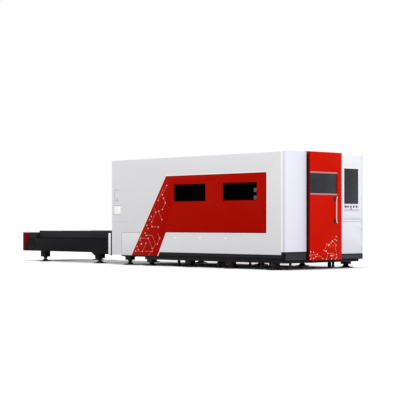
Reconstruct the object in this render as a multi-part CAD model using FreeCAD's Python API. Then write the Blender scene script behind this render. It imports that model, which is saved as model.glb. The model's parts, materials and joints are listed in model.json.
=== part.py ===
import FreeCAD
import Part
import math
import os

# Flat-bed fiber laser cutting machine with a two-pallet exchange table, in millimetres.
# +X points to the operator's end, -Y is the side with the red band that faces the viewer, +Z is up.
# The origin is on the floor, under the middle of the whole machine.

Vector = FreeCAD.Vector

# ---------------------------------------------------------------- driving dimensions

# Enclosure
enclosure_length = 5010.0
enclosure_width = 2240.0
enclosure_height = 2200.0
wall_depth = 40.0
sheet = 3.0
skirt_height = 286.0
rear_skirt_height = 205.0
rear_skirt_length = 1460.0
front_return = 93.0
panel_gap = 2.0

# Base
sill_width = 160.0
sill_bottom = 128.0
sill_setback = 15.0
sill_top_gap = 3.0
sill_low_length = 3860.0
sill_groove_height = 22.0
sill_groove_depth = 25.0
sill_groove_level = 195.0
cross_member_width = 100.0
cross_member_height = 90.0
cross_member_count = 4
cross_member_drop = 25.0

# Levelling feet
pad_radius = 145.0
pad_thickness = 16.0
cone_radius = 78.0
cone_height = 40.0
stem_radius = 38.0
foot_sides = 10
foot_block_length = 145.0
foot_block_height = 60.0
first_foot = 353.0
foot_pitch = 1157.0
foot_count = 4
rear_foot_inset = 490.0
rear_foot_top = 105.0
rear_foot_plate_length = 200.0
rear_foot_plate_level = 166.0
rear_foot_plate_thickness = 26.0
jack_radius = 30.0
jack_offset = 330.0
cabinet_foot_radius = 30.0
cabinet_foot_setback = 385.0
cabinet_foot_inset = 140.0

# Bed
front_bay = 750.0
rear_bay = 150.0
bed_height = 905.0
beam_window_count = 5
beam_window_width = 520.0
beam_window_height = 330.0
beam_window_corner = 90.0
beam_back_wall = 15.0
bearing_end_gap = 5.0

# Pallet tracks
track_side_gap = 55.0
track_ledge = 115.0
track_thickness = 15.0
track_lip_height = 60.0
track_lip_width = 8.0
track_rib_height = 20.0
track_rib_lap = 60.0
track_end_gap = 5.0
upper_track_level = 540.0
track_spacing = 270.0
track_front_setback = 200.0
track_reach = 40.0

# Pallets
pallet_length = 3050.0
pallet_width = 1550.0
pallet_height = 160.0
pallet_travel = 3750.0
pallet_gap_to_wall = 10.0
pallet_ride = 5.0
pallet_web = 8.0
pallet_flange = 10.0
pallet_lip = 8.0
pallet_rail_width = 40.0
pallet_rail_depth = 100.0
pallet_side_width = 115.0
pallet_end_width = 60.0
pallet_end_lift = 15.0
support_bar_width = 40.0
support_bar_height = 15.0
support_bar_count = 3
slat_pitch = 147.0
slat_thickness = 5.0
slat_height = 95.0
tooth_height = 22.0
tooth_pitch = 220.0
wheel_radius = 40.0
wheel_width = 35.0
axle_radius = 12.0
axle_inset = 420.0
rolling_gap = 0.3
shaft_clearance = 0.05

# Exchange table
drive_space = 544.0
table_side_thickness = 20.0
table_start_gap = 477.0
table_side_drop = 35.0
table_front_drop = 35.0
table_front_length = 560.0
table_foot_near = 825.0
table_foot_far = 2825.0
table_foot_block = 180.0
table_foot_top = 106.0
table_cross_width = 120.0
end_cover_sheet = 4.0
end_cover_top = 663.0
end_wing_top = 280.0
end_wing_bottom = 130.0
end_housing_length = 515.0
guard_length = 110.0
guard_gap = 27.0
guard_top = 660.0
guard_bottom = 178.0

# Exchange drive
chain_spread = 1200.0
chain_width = 14.0
chain_thickness = 5.0
sprocket_radius = 45.0
sprocket_width = 10.0
sprocket_sides = 16
chain_drop = 38.0
drive_shaft_radius = 15.0
shaft_sides = 12
drive_shaft_setback = 80.0
idler_lead = 140.0
bearing_depth = 20.0
dog_length = 40.0
dog_width = 20.0
gearbox_length = 130.0
gearbox_drop = 62.0
gearbox_rise = 34.0
gearbox_width = 85.0
motor_height = 80.0
motor_length = 220.0

# Rear wall and gate
gate_opening_drop = 35.0
gate_opening_rise = 55.0
gate_opening_margin = 5.0
gate_thickness = 25.0
gate_overlap = 15.0
gate_clearance = 25.0
gate_track_gap = 10.0
gate_lift = 545.0
gate_floor_gap = 5.0
gate_slot_width = 40.0
gate_slot_margin = 8.0
gate_guide_width = 40.0
gate_guide_lip = 8.0
slide_clearance = 0.25
spigot_radius = 100.0
spigot_length = 80.0
spigot_flange = 300.0
spigot_inset = 470.0
spigot_drop = 300.0
gland_bore = 12.5
gland_size = 50.0
gland_length = 30.0
gland_inset = 160.0
gland_level = 430.0

# Enclosure frame and roof
post_length = 80.0
post_width = 50.0
rail_height = 60.0
roof_depth = 33.0
roof_panel_count = 3

# Side windows and the red band
window_width = 913.0
window_height = 343.0
window_sill = 1309.0
front_window_start = 720.0
window_pitch = 1403.0
window_border = 22.0
window_proud = 1.0
pane_thickness = 6.0
pane_recess = 14.0
band_front = 468.0
band_bottom = 686.0
band_top = 1828.0
band_thickness = 4.0
slash_top_rear = 3286.0
slash_bottom_rear = 4362.0
slash_bottom_front = 3544.0
slash_inner_corner = 3286.0
border_width = 20.0
border_thickness = 5.0

# Service covers on the near side
cover_thickness = 2.0
access_rear = 4687.0
access_top = 680.0
access_border = 8.0
plate_rear = 4926.0
plate_width = 199.0
plate_bottom = 1059.0
plate_height = 180.0
hatch_rear = 4910.0
hatch_width = 120.0
hatch_bottom = 1324.0
hatch_height = 255.0
latch_width = 70.0
latch_height = 28.0
latch_level = 567.0
latch_front = 1523.0
latch_pitch = 728.0
latch_count = 3

# Front left panel, sill, header and plinths
left_panel_width = 591.0
left_panel_bottom = 340.0
right_plinth_top = 286.0
plinth_bottom = 175.0
plinth_border = 14.0
plinth_recess = 6.0
front_sill_setback = 8.0
front_sill_far_inset = 320.0
header_height = 150.0

# Sliding door
door_near_gap = 11.0
door_far_gap = 14.0
door_bottom = 178.0
door_rise = 23.0
door_gap = 3.0
door_depth = 57.0
door_cap_thickness = 4.0
door_cap_reach = 54.0
door_travel = 580.0
door_window_near_inset = 20.0
door_window_far_inset = 141.0
door_window_bottom = 1439.0
door_window_height = 377.0
door_pane_thickness = 8.0
door_pane_lap = 12.0
trim_height = 30.0
trim_thickness = 6.0
track_height = 16.0
track_width = 34.0
track_setback = 14.0
hanger_length = 80.0
hanger_wall = 4.0
running_gap = 0.5
guide_inset = 98.0
guide_length = 150.0
guide_width = 20.0
guide_height = 17.0
guide_plate = 12.0

# Door handle
handle_inset = 211.0
handle_bottom = 878.0
handle_top = 1376.0
handle_radius = 13.0
handle_sides = 12
handle_standoff = 50.0
handle_flare = 22.0
handle_flare_height = 45.0
standoff_radius = 9.0
standoff_inset = 54.0

# Control cabinet
cabinet_width = 690.0
cabinet_depth = 640.0
cabinet_wall = 25.0
cabinet_floor_thickness = 17.0
cabinet_shelf_drop = 30.0
cabinet_door_near_inset = 27.0
cabinet_door_far_inset = 37.0
cabinet_door_rise = 16.0
cabinet_door_height = 596.0
cabinet_door_depth = 28.0
hinge_radius = 8.0
hinge_pin_radius = 4.0
hinge_length = 90.0
hinge_inset = 70.0
hinge_gap = 0.5
screen_inset = 128.0
screen_width = 421.0
screen_rise = 109.0
screen_height = 682.0
screen_recess = 12.0
screen_depth = 45.0
screen_border = 10.0
screen_lap = 20.0
drawer_inset = 112.0
drawer_width = 476.0
drawer_rise = 62.0
drawer_height = 180.0
drawer_front = 20.0
drawer_length = 340.0
drawer_side_height = 40.0
keyboard_length = 160.0
keyboard_width = 400.0
keyboard_height = 22.0
keyboard_setback = 40.0
key_row_count = 4
module_side_gap = 27.5
module_length = 370.0
module_setback = 130.0
laser_height = 200.0
rack_height = 340.0
rack_fin_count = 6

# Buttons
button_rise = 56.0
button_radius = 14.0
button_stem_radius = 8.0
button_cap_height = 9.0
button_stem_length = 34.0
button_travel = 4.0
button_sides = 12
button_gap = 0.35
stem_sides = 6
key_sides = 10
first_button_inset = 242.0
button_pitch = 85.0
button_count = 4
stop_inset = 167.0
stop_radius = 20.0
stop_stem_radius = 11.0
stop_cap_height = 16.0
stop_travel = 6.0
key_inset = 330.0
key_rise = 10.5
key_radius = 9.0
key_width = 4.0

# Gantry
rail_width = 30.0
rail_depth = 25.0
bed_rail_inset = 90.0
rail_end_inset = 30.0
truck_length = 340.0
truck_width = 100.0
truck_lift = 7.0
truck_height = 88.0
beam_depth = 200.0
beam_height = 220.0
beam_wall = 14.0
beam_overhang = 50.0
beam_rail_height = 20.0
beam_rail_inset = 40.0
gantry_setback = 1530.0
servo_size = 90.0
servo_length = 160.0
carriage_width = 260.0
carriage_thickness = 25.0
carriage_drop = 30.0
carriage_rise = 110.0
head_width = 120.0
head_depth = 110.0
head_body_height = 330.0
head_lift = 320.0
head_collar_radius = 34.0
nozzle_park_gap = 65.0
nozzle_height = 90.0
nozzle_radius = 26.0
nozzle_tip_radius = 6.0
head_gap = 1.0

# ---------------------------------------------------------------- derived places

cabinet_start = enclosure_width - cabinet_width
door_start = left_panel_width + door_near_gap
door_width = cabinet_start - door_far_gap - door_start
door_top = enclosure_height + door_rise
table_overhang = pallet_length + pallet_gap_to_wall + drive_space
door_face = door_gap + door_depth
front_reach = door_face + handle_standoff + handle_flare + handle_radius
overall_length = enclosure_length + table_overhang + front_reach
front_x = overall_length / 2 - front_reach
rear_x = front_x - enclosure_length
table_end_x = rear_x - table_overhang
half_width = enclosure_width / 2
wall_inside = half_width - wall_depth
sill_top = skirt_height - sill_top_gap
sill_outside = half_width - sill_setback
sill_inside = sill_outside - sill_width
bed_front_x = front_x - front_bay
bed_rear_x = rear_x + rear_bay
base_front_x = front_x - front_return
base_rear_x = rear_x + wall_depth
rear_wall_inside = rear_x + wall_depth
pallet_half = pallet_width / 2
track_wall = pallet_half + track_side_gap
table_half = track_wall + table_side_thickness
chain_y = chain_spread / 2
rail_offset = wall_inside - bed_rail_inset
gate_front_x = rear_wall_inside + gate_clearance + gate_thickness
table_track_start_x = rear_wall_inside + gate_clearance - gate_track_gap
lower_track_level = upper_track_level - track_spacing
upper_level = upper_track_level + pallet_ride
lower_level = lower_track_level + pallet_ride
chain_level = upper_track_level - chain_drop
cross_member_floor = lower_track_level - track_thickness - cross_member_drop - cross_member_height
table_bottom = lower_track_level - table_side_drop
table_front_bottom = table_bottom - table_front_drop
gate_opening_bottom = lower_track_level - gate_opening_drop
gate_opening_top = upper_level + pallet_height + gate_opening_rise
gate_bottom = gate_opening_bottom + gate_floor_gap
nozzle_tip_level = upper_level + pallet_height + nozzle_park_gap
spigot_level = enclosure_height - spigot_drop
cabinet_floor_top = sill_top + cabinet_floor_thickness
cabinet_door_bottom = right_plinth_top + cabinet_door_rise
drawer_bottom = cabinet_door_bottom + cabinet_door_height + drawer_rise
drawer_top = drawer_bottom + drawer_height
cabinet_shelf_top = drawer_bottom - cabinet_shelf_drop
key_level = drawer_top + key_rise
button_level = drawer_top + button_rise
screen_bottom = drawer_top + screen_rise
outer_pallet_x = rear_x - pallet_gap_to_wall - pallet_length
inner_pallet_x = outer_pallet_x + pallet_travel
drive_shaft_x = outer_pallet_x - drive_shaft_setback
idler_shaft_x = inner_pallet_x + idler_lead
shaft_bearing = drive_shaft_radius + shaft_clearance


def across(position):
    """Y of a place measured from the near side of the enclosure."""
    return position - half_width


# ---------------------------------------------------------------- shaping helpers

def block(x, y, z):
    """A box from three (low, high) pairs."""
    corner = Vector(min(x), min(y), min(z))
    return Part.makeBox(abs(x[1] - x[0]), abs(y[1] - y[0]), abs(z[1] - z[0]), corner)


def both_sides(shape):
    """The shape and its mirror image across the machine's middle plane."""
    return [shape, shape.mirror(Vector(0, 0, 0), Vector(0, 1, 0))]


def outline_face(points):
    corners = [Vector(*point) for point in points]
    return Part.Face(Part.makePolygon(corners + [corners[0]]))


def side_prism(outline, y_start, y_end):
    """An (x, z) outline pushed across the machine."""
    face = outline_face([(x, y_start, z) for x, z in outline])
    return face.extrude(Vector(0, y_end - y_start, 0))


def front_prism(outline, x_start, x_end):
    """A (y, z) outline pushed along the machine."""
    face = outline_face([(x_start, y, z) for y, z in outline])
    return face.extrude(Vector(x_end - x_start, 0, 0))


def cylinder(radius, start, end):
    axis = Vector(*end).sub(Vector(*start))
    return Part.makeCylinder(radius, axis.Length, Vector(*start), axis)


def turned(profile, sides, centre, axis):
    """A many-sided turned solid: rings of (radius, distance along the axis) with their corners on the radius.

    One corner of every ring points down, or forward where the axis is upright.
    """
    direction = Vector(*axis)
    upright = abs(direction.z) > 0.5
    across_one = Vector(1, 0, 0) if upright else Vector(0, 0, -1)
    across_two = direction.cross(across_one)
    rings = []
    for radius, distance in profile:
        ring = []
        for index in range(sides):
            angle = 2 * math.pi * index / sides
            ring.append(Vector(*centre) + direction * distance + across_one * (radius * math.cos(angle))
                        + across_two * (radius * math.sin(angle)))
        rings.append(ring)
    faces = [Part.Face(Part.makePolygon(ring + [ring[0]])) for ring in (rings[0], rings[-1])]
    for low, high in zip(rings, rings[1:]):
        for index in range(sides):
            after = (index + 1) % sides
            corners = [low[index], low[after], high[after], high[index]]
            faces.append(Part.Face(Part.makePolygon(corners + [corners[0]])))
    solid = Part.Solid(Part.Shell(faces))
    if solid.Volume < 0:
        solid.reverse()
    return solid.removeSplitter()


def many_sided(radius, sides, centre, axis, length):
    """A regular prism whose corners lie on the radius, one of them pointing down."""
    return turned([(radius, 0), (radius, length)], sides, centre, axis)


def many_sided_hole(radius, sides, centre, axis, length):
    """A regular prism whose flats touch the radius, one of them facing down, so that a round part turns in it."""
    prism = many_sided(radius / math.cos(math.pi / sides), sides, centre, axis, length)
    prism.rotate(Vector(*centre), Vector(*axis), 180.0 / sides)
    return prism


def offset_outline(points, distance):
    """The same corners, moved outward so that every edge shifts by the distance."""
    area = sum(a[0] * b[1] - b[0] * a[1] for a, b in zip(points, points[1:] + points[:1]))
    turn = 1 if area > 0 else -1
    moved = []
    for index, corner in enumerate(points):
        before = points[index - 1]
        after = points[(index + 1) % len(points)]
        first = (corner[0] - before[0], corner[1] - before[1])
        second = (after[0] - corner[0], after[1] - corner[1])
        first_length = math.hypot(*first)
        second_length = math.hypot(*second)
        first_normal = (turn * first[1] / first_length, -turn * first[0] / first_length)
        second_normal = (turn * second[1] / second_length, -turn * second[0] / second_length)
        scale = distance / (1 + first_normal[0] * second_normal[0] + first_normal[1] * second_normal[1])
        moved.append((corner[0] + scale * (first_normal[0] + second_normal[0]),
                      corner[1] + scale * (first_normal[1] + second_normal[1])))
    return moved


def front_tray(y, z, depth, back_x=None):
    """A folded front panel: a skin facing +X with returns all round, open at the back."""
    back = front_x - depth if back_x is None else back_x
    outer = block((back, front_x), y, z)
    inner = block((back - 1, front_x - sheet), (y[0] + sheet, y[1] - sheet), (z[0] + sheet, z[1] - sheet))
    return outer.cut(inner)


def save(name, solids):
    """Writes one node, as one solid or as a group of separate ones."""
    pieces = solids if isinstance(solids, list) else [solids]
    found = [solid for piece in pieces for solid in piece.Solids]
    shape = found[0] if len(found) == 1 else Part.makeCompound(found)
    shape.exportStep("parts/" + name + ".step")


os.makedirs("parts", exist_ok=True)


# ---------------------------------------------------------------- base, feet and bed

def foot_places():
    """(x, underside of the frame there, top of the foot) for the feet under each base sill."""
    places = [(front_x - first_foot - index * foot_pitch, sill_bottom, sill_bottom - foot_block_height)
              for index in range(foot_count)]
    places.append((rear_x + rear_foot_inset, rear_skirt_height, rear_foot_top))
    return places


def table_foot_places():
    return [(rear_x - table_foot_near, table_front_bottom, table_foot_top),
            (rear_x - table_foot_far, table_bottom, table_foot_top)]


sill_middle = (sill_inside + sill_outside) / 2
table_foot_y = table_half - foot_block_length / 2


def base_sill():
    """The near sill with the blocks over its feet: deep at the front, shallow at the rear, grooved outside."""
    low_end_x = base_front_x - sill_low_length
    outline = [(base_front_x, sill_bottom), (base_front_x, sill_top), (base_rear_x, sill_top),
               (base_rear_x, rear_skirt_height), (low_end_x, rear_skirt_height), (low_end_x, sill_bottom)]
    sill = side_prism(outline, -sill_outside, -sill_inside)
    groove = block((low_end_x - 1, base_front_x + 1), (-sill_outside - 1, -sill_outside + sill_groove_depth),
                   (sill_groove_level, sill_groove_level + sill_groove_height))
    half = foot_block_length / 2
    y = (-sill_middle - half, -sill_middle + half)
    pieces = [sill.cut(groove)]
    for x, underside, top in foot_places():
        pieces.append(block((x - half, x + half), y, (top, underside)))
    rear_foot_x = foot_places()[-1][0]
    plate_half = rear_foot_plate_length / 2
    plate = block((rear_foot_x - plate_half, rear_foot_x + plate_half), y,
                  (rear_foot_plate_level, rear_foot_plate_level + rear_foot_plate_thickness))
    pieces[-1] = pieces[-1].fuse(plate).removeSplitter()
    return pieces


def cross_members():
    """Tubes between the two sills, spread evenly under the bed, and one across the rear end."""
    first = bed_front_x - cross_member_width
    last = base_front_x - sill_low_length + cross_member_width
    step = (first - last) / (cross_member_count - 1)
    members = []
    for index in range(cross_member_count):
        x = first - index * step
        members.append(block((x - cross_member_width / 2, x + cross_member_width / 2),
                             (-sill_inside, sill_inside),
                             (cross_member_floor, cross_member_floor + cross_member_height)))
    rear = bed_rear_x + cross_member_width
    members.append(block((rear - cross_member_width / 2, rear + cross_member_width / 2),
                         (-sill_inside, sill_inside), (rear_skirt_height, lower_track_level - track_thickness)))
    return members


def levelling_foot(x, y, top):
    """Round pad, cone and stem, as one turned steel foot."""
    profile = [(pad_radius, 0), (pad_radius, pad_thickness), (cone_radius, pad_thickness),
               (stem_radius, pad_thickness + cone_height), (stem_radius, top)]
    return turned(profile, foot_sides, (x, y, 0), (0, 0, 1))


def levelling_feet():
    feet = []
    for side in (-1, 1):
        for x, underside, top in foot_places():
            feet.append(levelling_foot(x, side * sill_middle, top))
        for x, underside, top in table_foot_places():
            feet.append(levelling_foot(x, side * table_foot_y, top))
    return feet


def jack_bolts():
    """Slim six-sided jacking bolts under the sills, between the feet."""
    bolts = []
    for side in (-1, 1):
        for index in range(foot_count - 1):
            x = front_x - first_foot - index * foot_pitch - jack_offset
            bolts.append(many_sided(jack_radius, 6, (x, side * sill_middle, 0), (0, 0, 1), sill_bottom))
    return bolts


def cabinet_foot():
    """A slim foot under the middle of the control cabinet's floor."""
    place = (front_x - cabinet_foot_setback, across(cabinet_start + cabinet_foot_inset), 0)
    return many_sided(cabinet_foot_radius, 6, place, (0, 0, 1), sill_top)


def bed_beam():
    """The near bed beam: a tall welded box with a row of windows that lets the fumes through."""
    beam = block((bed_rear_x, bed_front_x), (-wall_inside, -track_wall), (sill_top, bed_height))
    length = bed_front_x - bed_rear_x
    middle_z = (sill_top + bed_height) / 2
    half_w = beam_window_width / 2
    half_h = beam_window_height / 2
    for index in range(beam_window_count):
        middle_x = bed_rear_x + length * (index + 0.5) / beam_window_count
        corner = beam_window_corner
        outline = [(middle_x - half_w, middle_z - half_h + corner), (middle_x - half_w + corner, middle_z - half_h),
                   (middle_x + half_w - corner, middle_z - half_h), (middle_x + half_w, middle_z - half_h + corner),
                   (middle_x + half_w, middle_z + half_h - corner), (middle_x + half_w - corner, middle_z + half_h),
                   (middle_x - half_w + corner, middle_z + half_h), (middle_x - half_w, middle_z + half_h - corner)]
        beam = beam.cut(side_prism(outline, -wall_inside - 1, -track_wall - bearing_depth - beam_back_wall))
    bore = many_sided_hole(shaft_bearing, shaft_sides,
                           (idler_shaft_x, -track_wall - bearing_depth - bearing_end_gap, chain_level),
                           (0, 1, 0), bearing_depth + bearing_end_gap + 1)
    return beam.cut(bore)


def bed_tracks():
    """Angles whose flat ledges carry the wheels and whose upright legs lie against the bed beams."""
    inner = -(track_wall - track_ledge)
    leg = -track_wall + track_lip_width
    tracks = []
    for level in (upper_track_level, lower_track_level):
        under = level - track_thickness
        profile = [(inner, under), (-track_wall, under), (-track_wall, under + track_lip_height),
                   (leg, under + track_lip_height), (leg, level), (inner, level)]
        tracks += both_sides(front_prism(profile, bed_rear_x - track_reach, bed_front_x - track_front_setback))
    return tracks


save("base_frame", [side for piece in base_sill() for side in both_sides(piece)] + cross_members())
save("levelling_feet", levelling_feet() + jack_bolts() + [cabinet_foot()])
save("bed_beams", both_sides(bed_beam()))
save("bed_tracks", bed_tracks())


# ---------------------------------------------------------------- enclosure frame, walls and roof

post_outside = wall_inside
post_inside = post_outside - post_width
frame_front_x = base_front_x - panel_gap
frame_rear_x = rear_wall_inside + sheet
frame_top = enclosure_height - roof_depth
post_top = frame_top - rail_height


def enclosure_frame():
    """Four corner posts, two long rails on them and two cross rails between these."""
    pieces = []
    for start in (frame_rear_x, frame_front_x - post_length):
        post = block((start, start + post_length), (-post_outside, -post_inside), (sill_top, post_top))
        pieces += both_sides(post)
        inside = (start, start + post_width)
        pieces.append(block(inside, (-post_inside, post_inside), (post_top, frame_top)))
    rail = block((frame_rear_x, frame_front_x), (-post_outside, -post_inside), (post_top, frame_top))
    return pieces + both_sides(rail)


def roof_panels():
    """Folded trays side by side, skin up."""
    start = rear_wall_inside
    length = (base_front_x - start - panel_gap * roof_panel_count) / roof_panel_count
    panels = []
    for index in range(roof_panel_count):
        x = start + index * (length + panel_gap)
        outer = block((x, x + length), (-wall_inside, wall_inside), (frame_top, enclosure_height))
        inner = block((x + sheet, x + length - sheet), (-wall_inside + sheet, wall_inside - sheet),
                      (frame_top - 1, enclosure_height - sheet))
        panels.append(outer.cut(inner))
    return panels


def window_starts():
    """X of the front edge of each side window."""
    return [front_x - front_window_start - index * window_pitch for index in range(2)]


def window_opening(x, inset, y_start, y_end):
    """A block as large as a side window, drawn in by the inset."""
    return block((x - window_width + inset, x - inset), (y_start, y_end),
                 (window_sill + inset, window_sill + window_height - inset))


def wall_outline(inset):
    """(x, z) outline of a side wall with its lower skirt at the rear, drawn in by the inset."""
    step_x = rear_x + rear_skirt_length
    return [(rear_x + inset, rear_skirt_height + inset), (step_x - inset, rear_skirt_height + inset),
            (step_x - inset, skirt_height + inset), (base_front_x - panel_gap - inset, skirt_height + inset),
            (base_front_x - panel_gap - inset, enclosure_height - inset), (rear_x + inset, enclosure_height - inset)]


def side_panel():
    """The near side wall: one skin with folded edges, open to the inside and over the rear of the sill."""
    outer = side_prism(wall_outline(0), -half_width, -wall_inside)
    hollow = side_prism(wall_outline(sheet), -half_width + sheet, -wall_inside + 1)
    sill_space = block((rear_x + sheet, rear_x + rear_skirt_length + 1), (-sill_outside - sheet, -wall_inside + 1),
                       (rear_skirt_height - 1, skirt_height))
    panel = outer.cut([hollow, sill_space])
    for x in window_starts():
        panel = panel.cut(window_opening(x, 0, -half_width - 1, -wall_inside + 1))
    return panel


def window_frame(x):
    """A deep rectangular ring that fills the window opening."""
    outside = -half_width - band_thickness - window_proud
    ring = window_opening(x, 0, outside, -wall_inside)
    return ring.cut(window_opening(x, window_border, outside - 1, -wall_inside + 1))


def window_pane(x):
    outside = -half_width + pane_recess
    return window_opening(x, window_border, outside, outside + pane_thickness)


def band_outline():
    """(x, z) outline of the red band and the slash that runs down to the skirt."""
    return [(front_x - band_front, band_top), (front_x - slash_top_rear, band_top),
            (front_x - slash_bottom_rear, rear_skirt_height), (front_x - slash_bottom_front, rear_skirt_height),
            (front_x - slash_inner_corner, band_bottom), (front_x - band_front, band_bottom)]


def red_band():
    band = side_prism(band_outline(), -half_width - band_thickness, -half_width)
    for x in window_starts():
        band = band.cut(window_opening(x, 0, -half_width - band_thickness - 1, -half_width + 1))
    return band


def band_border():
    """A narrow strip all round the band, cut off level with the wall's lower edge."""
    outside = -half_width - border_thickness
    wide = side_prism(offset_outline(band_outline(), border_width), outside, -half_width)
    strip = wide.cut(side_prism(band_outline(), outside - 1, -half_width + 1))
    below = block((rear_x, front_x), (outside - 1, -half_width + 1), (0, rear_skirt_height))
    return strip.cut(below)


def slash_rear_edge(z):
    """X of the rear edge of the border strip at a height."""
    top_x = front_x - slash_top_rear
    bottom_x = front_x - slash_bottom_rear
    slope = (top_x - bottom_x) / (band_top - rear_skirt_height)
    shift = border_width * math.hypot(1, slope)
    return bottom_x + slope * (z - rear_skirt_height) - shift


def service_covers():
    """Bolted covers on the near side: the access cover, a plate, a flush hatch and small latches."""
    outside = -half_width - cover_thickness
    low = rear_skirt_height + access_border
    rear = front_x - access_rear
    access = side_prism([(rear, low), (slash_rear_edge(low) - panel_gap, low),
                         (slash_rear_edge(access_top) - panel_gap, access_top), (rear, access_top)],
                        outside, -half_width)
    plate_x = front_x - plate_rear
    plate = block((plate_x, plate_x + plate_width), (outside, -half_width),
                  (plate_bottom, plate_bottom + plate_height))
    hatch_x = front_x - hatch_rear
    hatch = block((hatch_x, hatch_x + hatch_width), (outside, -half_width),
                  (hatch_bottom, hatch_bottom + hatch_height))
    grip = block((hatch_x + access_border * 2, hatch_x + hatch_width - access_border * 2),
                 (outside - 1, outside + cover_thickness / 2),
                 (hatch_bottom + hatch_height / 2, hatch_bottom + hatch_height - access_border * 2))
    pieces = [access, plate, hatch.cut(grip)]
    for index in range(latch_count):
        x = front_x - latch_front - index * latch_pitch
        pieces.append(block((x - latch_width, x), (outside, -half_width),
                            (latch_level, latch_level + latch_height)))
    return pieces


def gate_guide():
    """The near guide channel, with the slot that the gate's edge runs in."""
    opening = track_wall + gate_opening_margin
    front = gate_front_x + slide_clearance + gate_guide_lip
    guide = block((rear_wall_inside, front), (-opening - gate_guide_width, -opening),
                  (gate_opening_bottom, gate_bottom + gate_lift * 2 - gate_opening_margin))
    edge = opening + gate_overlap
    slot = block((gate_front_x - gate_thickness - slide_clearance, gate_front_x + slide_clearance),
                 (-edge - slide_clearance, -opening + 1), (gate_bottom - slide_clearance, enclosure_height))
    return guide.cut(slot)


def rear_wall_tray(spigot_y):
    """The wall over the pallet opening: skin plates round the spigot's flange, and folds along all four edges."""
    skin_x = (rear_x, rear_x + sheet)
    fold_x = (rear_x + sheet, rear_wall_inside)
    full = (-wall_inside, wall_inside)
    half = spigot_flange / 2
    beside = (spigot_level - half, spigot_level + half)
    plates = [block(skin_x, full, (gate_opening_top, beside[0])),
              block(skin_x, full, (beside[1], frame_top)),
              block(skin_x, (-wall_inside, spigot_y - half), beside),
              block(skin_x, (spigot_y + half, wall_inside), beside)]
    folds = [block(fold_x, full, (gate_opening_top, gate_opening_top + sheet)),
             block(fold_x, full, (frame_top - sheet, frame_top))]
    upright = block(fold_x, (-wall_inside, -wall_inside + sheet), (gate_opening_top + sheet, frame_top - sheet))
    return plates + folds + both_sides(upright)


def exhaust_spigot(spigot_y):
    """A square flange, let into the wall's skin, with a round duct collar that stands out of it."""
    half = spigot_flange / 2
    flange = block((rear_x, rear_x + sheet), (spigot_y - half, spigot_y + half),
                   (spigot_level - half, spigot_level + half))
    collar = cylinder(spigot_radius, (rear_x - spigot_length, spigot_y, spigot_level),
                      (rear_x + sheet, spigot_y, spigot_level))
    duct = cylinder(spigot_radius - sheet, (rear_x - spigot_length - 1, spigot_y, spigot_level),
                    (rear_x + sheet + 1, spigot_y, spigot_level))
    return flange.fuse(collar).cut(duct).removeSplitter()


def rear_wall():
    """The rear wall: a sill, a jamb on either side of the pallet opening, a folded tray over it and the guides."""
    wall_x = (rear_x, rear_wall_inside)
    opening_half = track_wall + gate_opening_margin
    spigot_y = half_width - spigot_inset
    gland_y = half_width - gland_inset
    sill = block(wall_x, (-opening_half, opening_half), (rear_skirt_height, gate_opening_bottom))
    jambs = both_sides(block(wall_x, (-wall_inside, -opening_half), (rear_skirt_height, gate_opening_top)))
    gland = many_sided(gland_size / 2, 6, (rear_x - gland_length, gland_y, gland_level), (1, 0, 0), gland_length)
    cable_hole = cylinder(gland_bore, (rear_x - gland_length - 1, gland_y, gland_level),
                          (rear_wall_inside + 1, gland_y, gland_level))
    jambs[1] = jambs[1].fuse(gland).cut(cable_hole)
    return [sill] + jambs + rear_wall_tray(spigot_y) + [exhaust_spigot(spigot_y)] + both_sides(gate_guide())


def rear_gate():
    """The gate, stored raised: a tray with slots in its lower edge that clear the exchange chains."""
    half = track_wall + gate_opening_margin + gate_overlap
    bottom = gate_bottom + gate_lift
    top = bottom + gate_opening_top - gate_bottom + gate_opening_margin
    back = gate_front_x - gate_thickness
    outer = block((back, gate_front_x), (-half, half), (bottom, top))
    slot_top = gate_lift + chain_level + sprocket_radius + chain_thickness + gate_slot_margin
    hollow = block((back - 1, gate_front_x - sheet), (-half + sheet, half - sheet),
                   (slot_top + sheet, top - sheet))
    slots = [block((back - 1, gate_front_x + 1), (side * chain_y - gate_slot_width / 2,
                                                  side * chain_y + gate_slot_width / 2), (bottom - 1, slot_top))
             for side in (-1, 1)]
    return outer.cut([hollow] + slots)


save("enclosure_frame", enclosure_frame())
save("roof_panels", roof_panels())
save("side_panel_near", side_panel())
save("side_panel_far", both_sides(side_panel())[1])
save("red_bands", both_sides(red_band()))
save("band_borders", both_sides(band_border()))
save("side_window_frames", [side for x in window_starts() for side in both_sides(window_frame(x))])
save("side_window_panes", [side for x in window_starts() for side in both_sides(window_pane(x))])
save("service_covers", service_covers())
save("rear_wall", rear_wall())
save("rear_gate", rear_gate())


# ---------------------------------------------------------------- front

def framed_plinth(y, top):
    """A plinth box whose front is set back inside a narrow border."""
    plinth = block((base_front_x, front_x), y, (plinth_bottom, top))
    recess = block((front_x - plinth_recess, front_x + 1), (y[0] + plinth_border, y[1] - plinth_border),
                   (plinth_bottom + plinth_border, top - plinth_border))
    return plinth.cut(recess)


left_panel_edge = across(left_panel_width)
cabinet_edge = across(cabinet_start)


def front_frame():
    """The front sill under the plinths and the header over the door opening."""
    sill = block((base_front_x, front_x - front_sill_setback), (-sill_outside, half_width - front_sill_far_inset),
                 (sill_bottom, plinth_bottom))
    header = block((base_front_x, front_x), (left_panel_edge, cabinet_edge),
                   (enclosure_height - header_height, enclosure_height))
    return [sill, header]


track_rear_x = front_x - track_setback - track_width


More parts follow.
